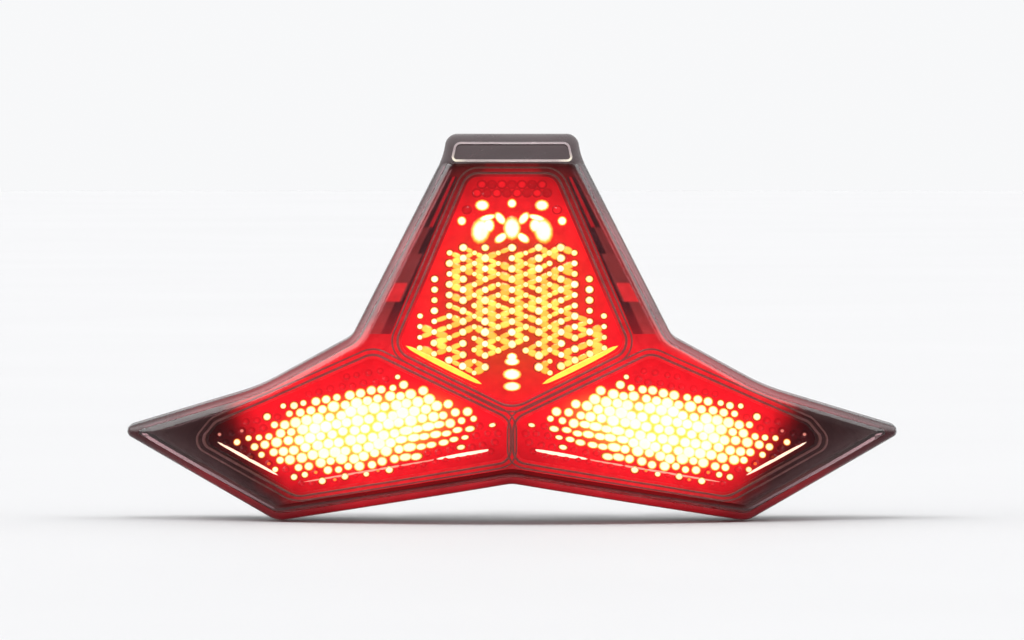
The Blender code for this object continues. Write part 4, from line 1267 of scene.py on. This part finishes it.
def housing_shell():
    """Tub of the housing with its rim, tabs and seats joined on and their holes cut"""
    lens = mirrored(LENS_CORNERS)
    bm = bmesh.new()
    rings = []
    for inset, depth in quarter(5):
        rings.append((outline(lens, BACK_INSET + BACK_ROUND * inset), back(-BACK_ROUND * depth)))
    rings += [
        (outline(lens, 0.003), face(RIM_FACE + 0.003)),
        (outline(lens, 0.0004), face(RIM_FACE + 0.0025)),
        (outline(lens), face(RIM_FACE + 0.0021)),
        (outline(lens), face(RIM_FACE + 0.0004)),
        (outline(lens, 0.0004), face(RIM_FACE)),
        (outline(lens, 0.006), face(RIM_FACE)),
        (outline(lens, 0.0078), back(-FLOOR_WALL)),
    ]
    stack(bm, rings, spacing=0.005)
    shell = finish(bm, "housing_shell", ["housing"], ["rear_housing"], sharp=32.0)
    for operation, tools in (("UNION", housing_additions()), ("DIFFERENCE", housing_cuts())):
        for tool in tools:
            step = shell.modifiers.new(tool.name, "BOOLEAN")
            step.operation = operation
            step.solver = "EXACT"
            step.object = tool
    depsgraph = bpy.context.evaluated_depsgraph_get()
    joined = bpy.data.meshes.new_from_object(shell.evaluated_get(depsgraph))
    shell.modifiers.clear()
    shell.data = joined
    joined.shade_smooth()
    joined.set_sharp_from_angle(angle=math.radians(32))
    for tool in [item for item in bpy.data.objects if item.name.startswith(("add_", "cut_"))]:
        bpy.data.objects.remove(tool, do_unlink=True)


def back_ribs():
    """Stiffening ribs across the housing's back"""
    bm = bmesh.new()
    for side in (-1, 1):
        for start, end in (((0.016, 0.02), (0.08, 0.0125)), ((0.018, 0.047), (0.038, 0.0445)),
                           ((0.066, 0.037), (0.092, 0.0285)), ((0.012, 0.058), (0.0105, 0.088)),
                           ((0.028, 0.016), (0.026, 0.048)), ((0.07, 0.0105), (0.071, 0.0365))):
            box_along_back(bm, (start[0] * side, start[1]), (end[0] * side, end[1]), 0.0018, 0.0018)
    for z in (0.058, 0.073, 0.088):
        box_along_back(bm, (-0.0105, z), (0.0105, z), 0.0018, 0.0016)
    finish(bm, "housing_ribs", ["housing"], ["rear_housing"], sharp=32.0)


# ---- CAD nodes that keep their shape ----

def dress_nodes():
    """Give each CAD node that still shows its finished material"""
    finishes = {
        "_reflector": "mirror", "_board": "board", "_led_": "led", "_screw_": "zinc",
        "drive_inductor": "epoxy", "drive_capacitor": "can", "control_chip": "epoxy",
        "lead_header": "header", "_lead": "jacket",
    }
    for name, node in frame["nodes"].items():
        for part, finish_name in finishes.items():
            if part in name:
                for holder in node.material_slots:
                    holder.material = MATERIALS[finish_name]
                if not node.material_slots:
                    node.data.materials.append(MATERIALS[finish_name])


# ---- stage ----

def plain(name, colour, roughness):
    """Matt surface with a faint drift of tone"""
    tree = Tree(name).set(Roughness=roughness)
    light = tuple(min(part * 1.02, 1.0) for part in colour)
    tree.link(tree.ramp(tree.noise(3.0, 2.0), (0.3, colour), (0.7, light)), "Base Color")
    return tree.material


def soft_sun(name, azimuth, elevation, strength, spread):
    """Large soft lamp; azimuth 0 shines from behind the camera, and 90 from the left"""
    data = bpy.data.lights.new(name, "SUN")
    data.energy = strength
    data.angle = math.radians(spread)
    made = bpy.data.objects.new(name, data)
    turn, rise = math.radians(azimuth), math.radians(elevation)
    source = Vector((-math.sin(turn) * math.cos(rise), -math.cos(turn) * math.cos(rise), math.sin(rise)))
    made.location = source * 2.0
    made.rotation_euler = source.to_track_quat("Z", "Y").to_euler()
    bpy.context.scene.collection.objects.link(made)


def studio():
    """Pale floor, pale world and three soft lamps"""
    below = cad_box[0].z - 0.0005
    bpy.ops.mesh.primitive_circle_add(vertices=96, radius=9.0, fill_type="NGON", location=(0, 0, below))
    floor = bpy.context.object
    floor.name = "studio_floor"
    floor.data.materials.append(plain("pale_floor", (0.795, 0.795, 0.8), 0.65))
    studio_world()
    soft_sun("left_sun", 118.0, 42.0, 1.28, 42.0)
    soft_sun("right_sun", -125.0, 38.0, 0.92, 42.0)
    soft_sun("top_sun", 180.0, 68.0, 0.57, 16.0)


def studio_world():
    """Pale room with a dark card high above the camera, out of the lens's reflections"""
    world = bpy.data.worlds.new("studio")
    world.use_nodes = True
    nodes, links = world.node_tree.nodes, world.node_tree.links
    place = nodes.new("ShaderNodeTexCoord")
    towards = nodes.new("ShaderNodeVectorMath")
    towards.operation = "DOT_PRODUCT"
    towards.inputs[1].default_value = (0.0, -0.57, 0.82)
    card = nodes.new("ShaderNodeMapRange")
    card.interpolation_type = "SMOOTHSTEP"
    card.inputs["From Min"].default_value = 0.5
    card.inputs["From Max"].default_value = 0.74
    tone = nodes.new("ShaderNodeMix")
    tone.data_type = "RGBA"
    tone.inputs[6].default_value = (0.935, 0.94, 0.95, 1.0)
    tone.inputs[7].default_value = (0.1, 0.1, 0.11, 1.0)
    links.new(place.outputs["Generated"], towards.inputs[0])
    links.new(towards.outputs["Value"], card.inputs["Value"])
    links.new(card.outputs["Result"], tone.inputs[0])
    links.new(tone.outputs[2], nodes["Background"].inputs["Color"])
    bpy.context.scene.world = world


def camera():
    """Camera nearly level with the light, far behind the motorcycle, as a long lens sees it"""
    low, high = cad_box
    target = Vector((0, REAR_Y + 0.04, (low.z + high.z) / 2 + 0.002))
    distance, elevation, frame_width = 3.0, math.radians(1.4), 0.315
    data = bpy.data.cameras.new("camera")
    data.sensor_width = 36.0
    data.lens = data.sensor_width * distance / frame_width
    data.clip_end = 60.0
    made = bpy.data.objects.new("camera", data)
    made.location = target + Vector((0, -math.cos(elevation), math.sin(elevation))) * distance
    made.rotation_euler = (target - made.location).to_track_quat("-Z", "Y").to_euler()
    bpy.context.scene.collection.objects.link(made)
    bpy.context.scene.camera = made
    bpy.context.scene.view_settings.view_transform = "Standard"


camera()
studio()
lens_cover()
seal_bead()
window_frame()
center_light()
for wing, wing_side in (("left", -1), ("right", 1)):
    wing_light(wing, wing_side)
housing_shell()
back_ribs()
cable_gland()
vent_plug()
for tab in TABS:
    grommet(tab)
    collar(tab)
    mount_screw(tab)
dress_nodes()
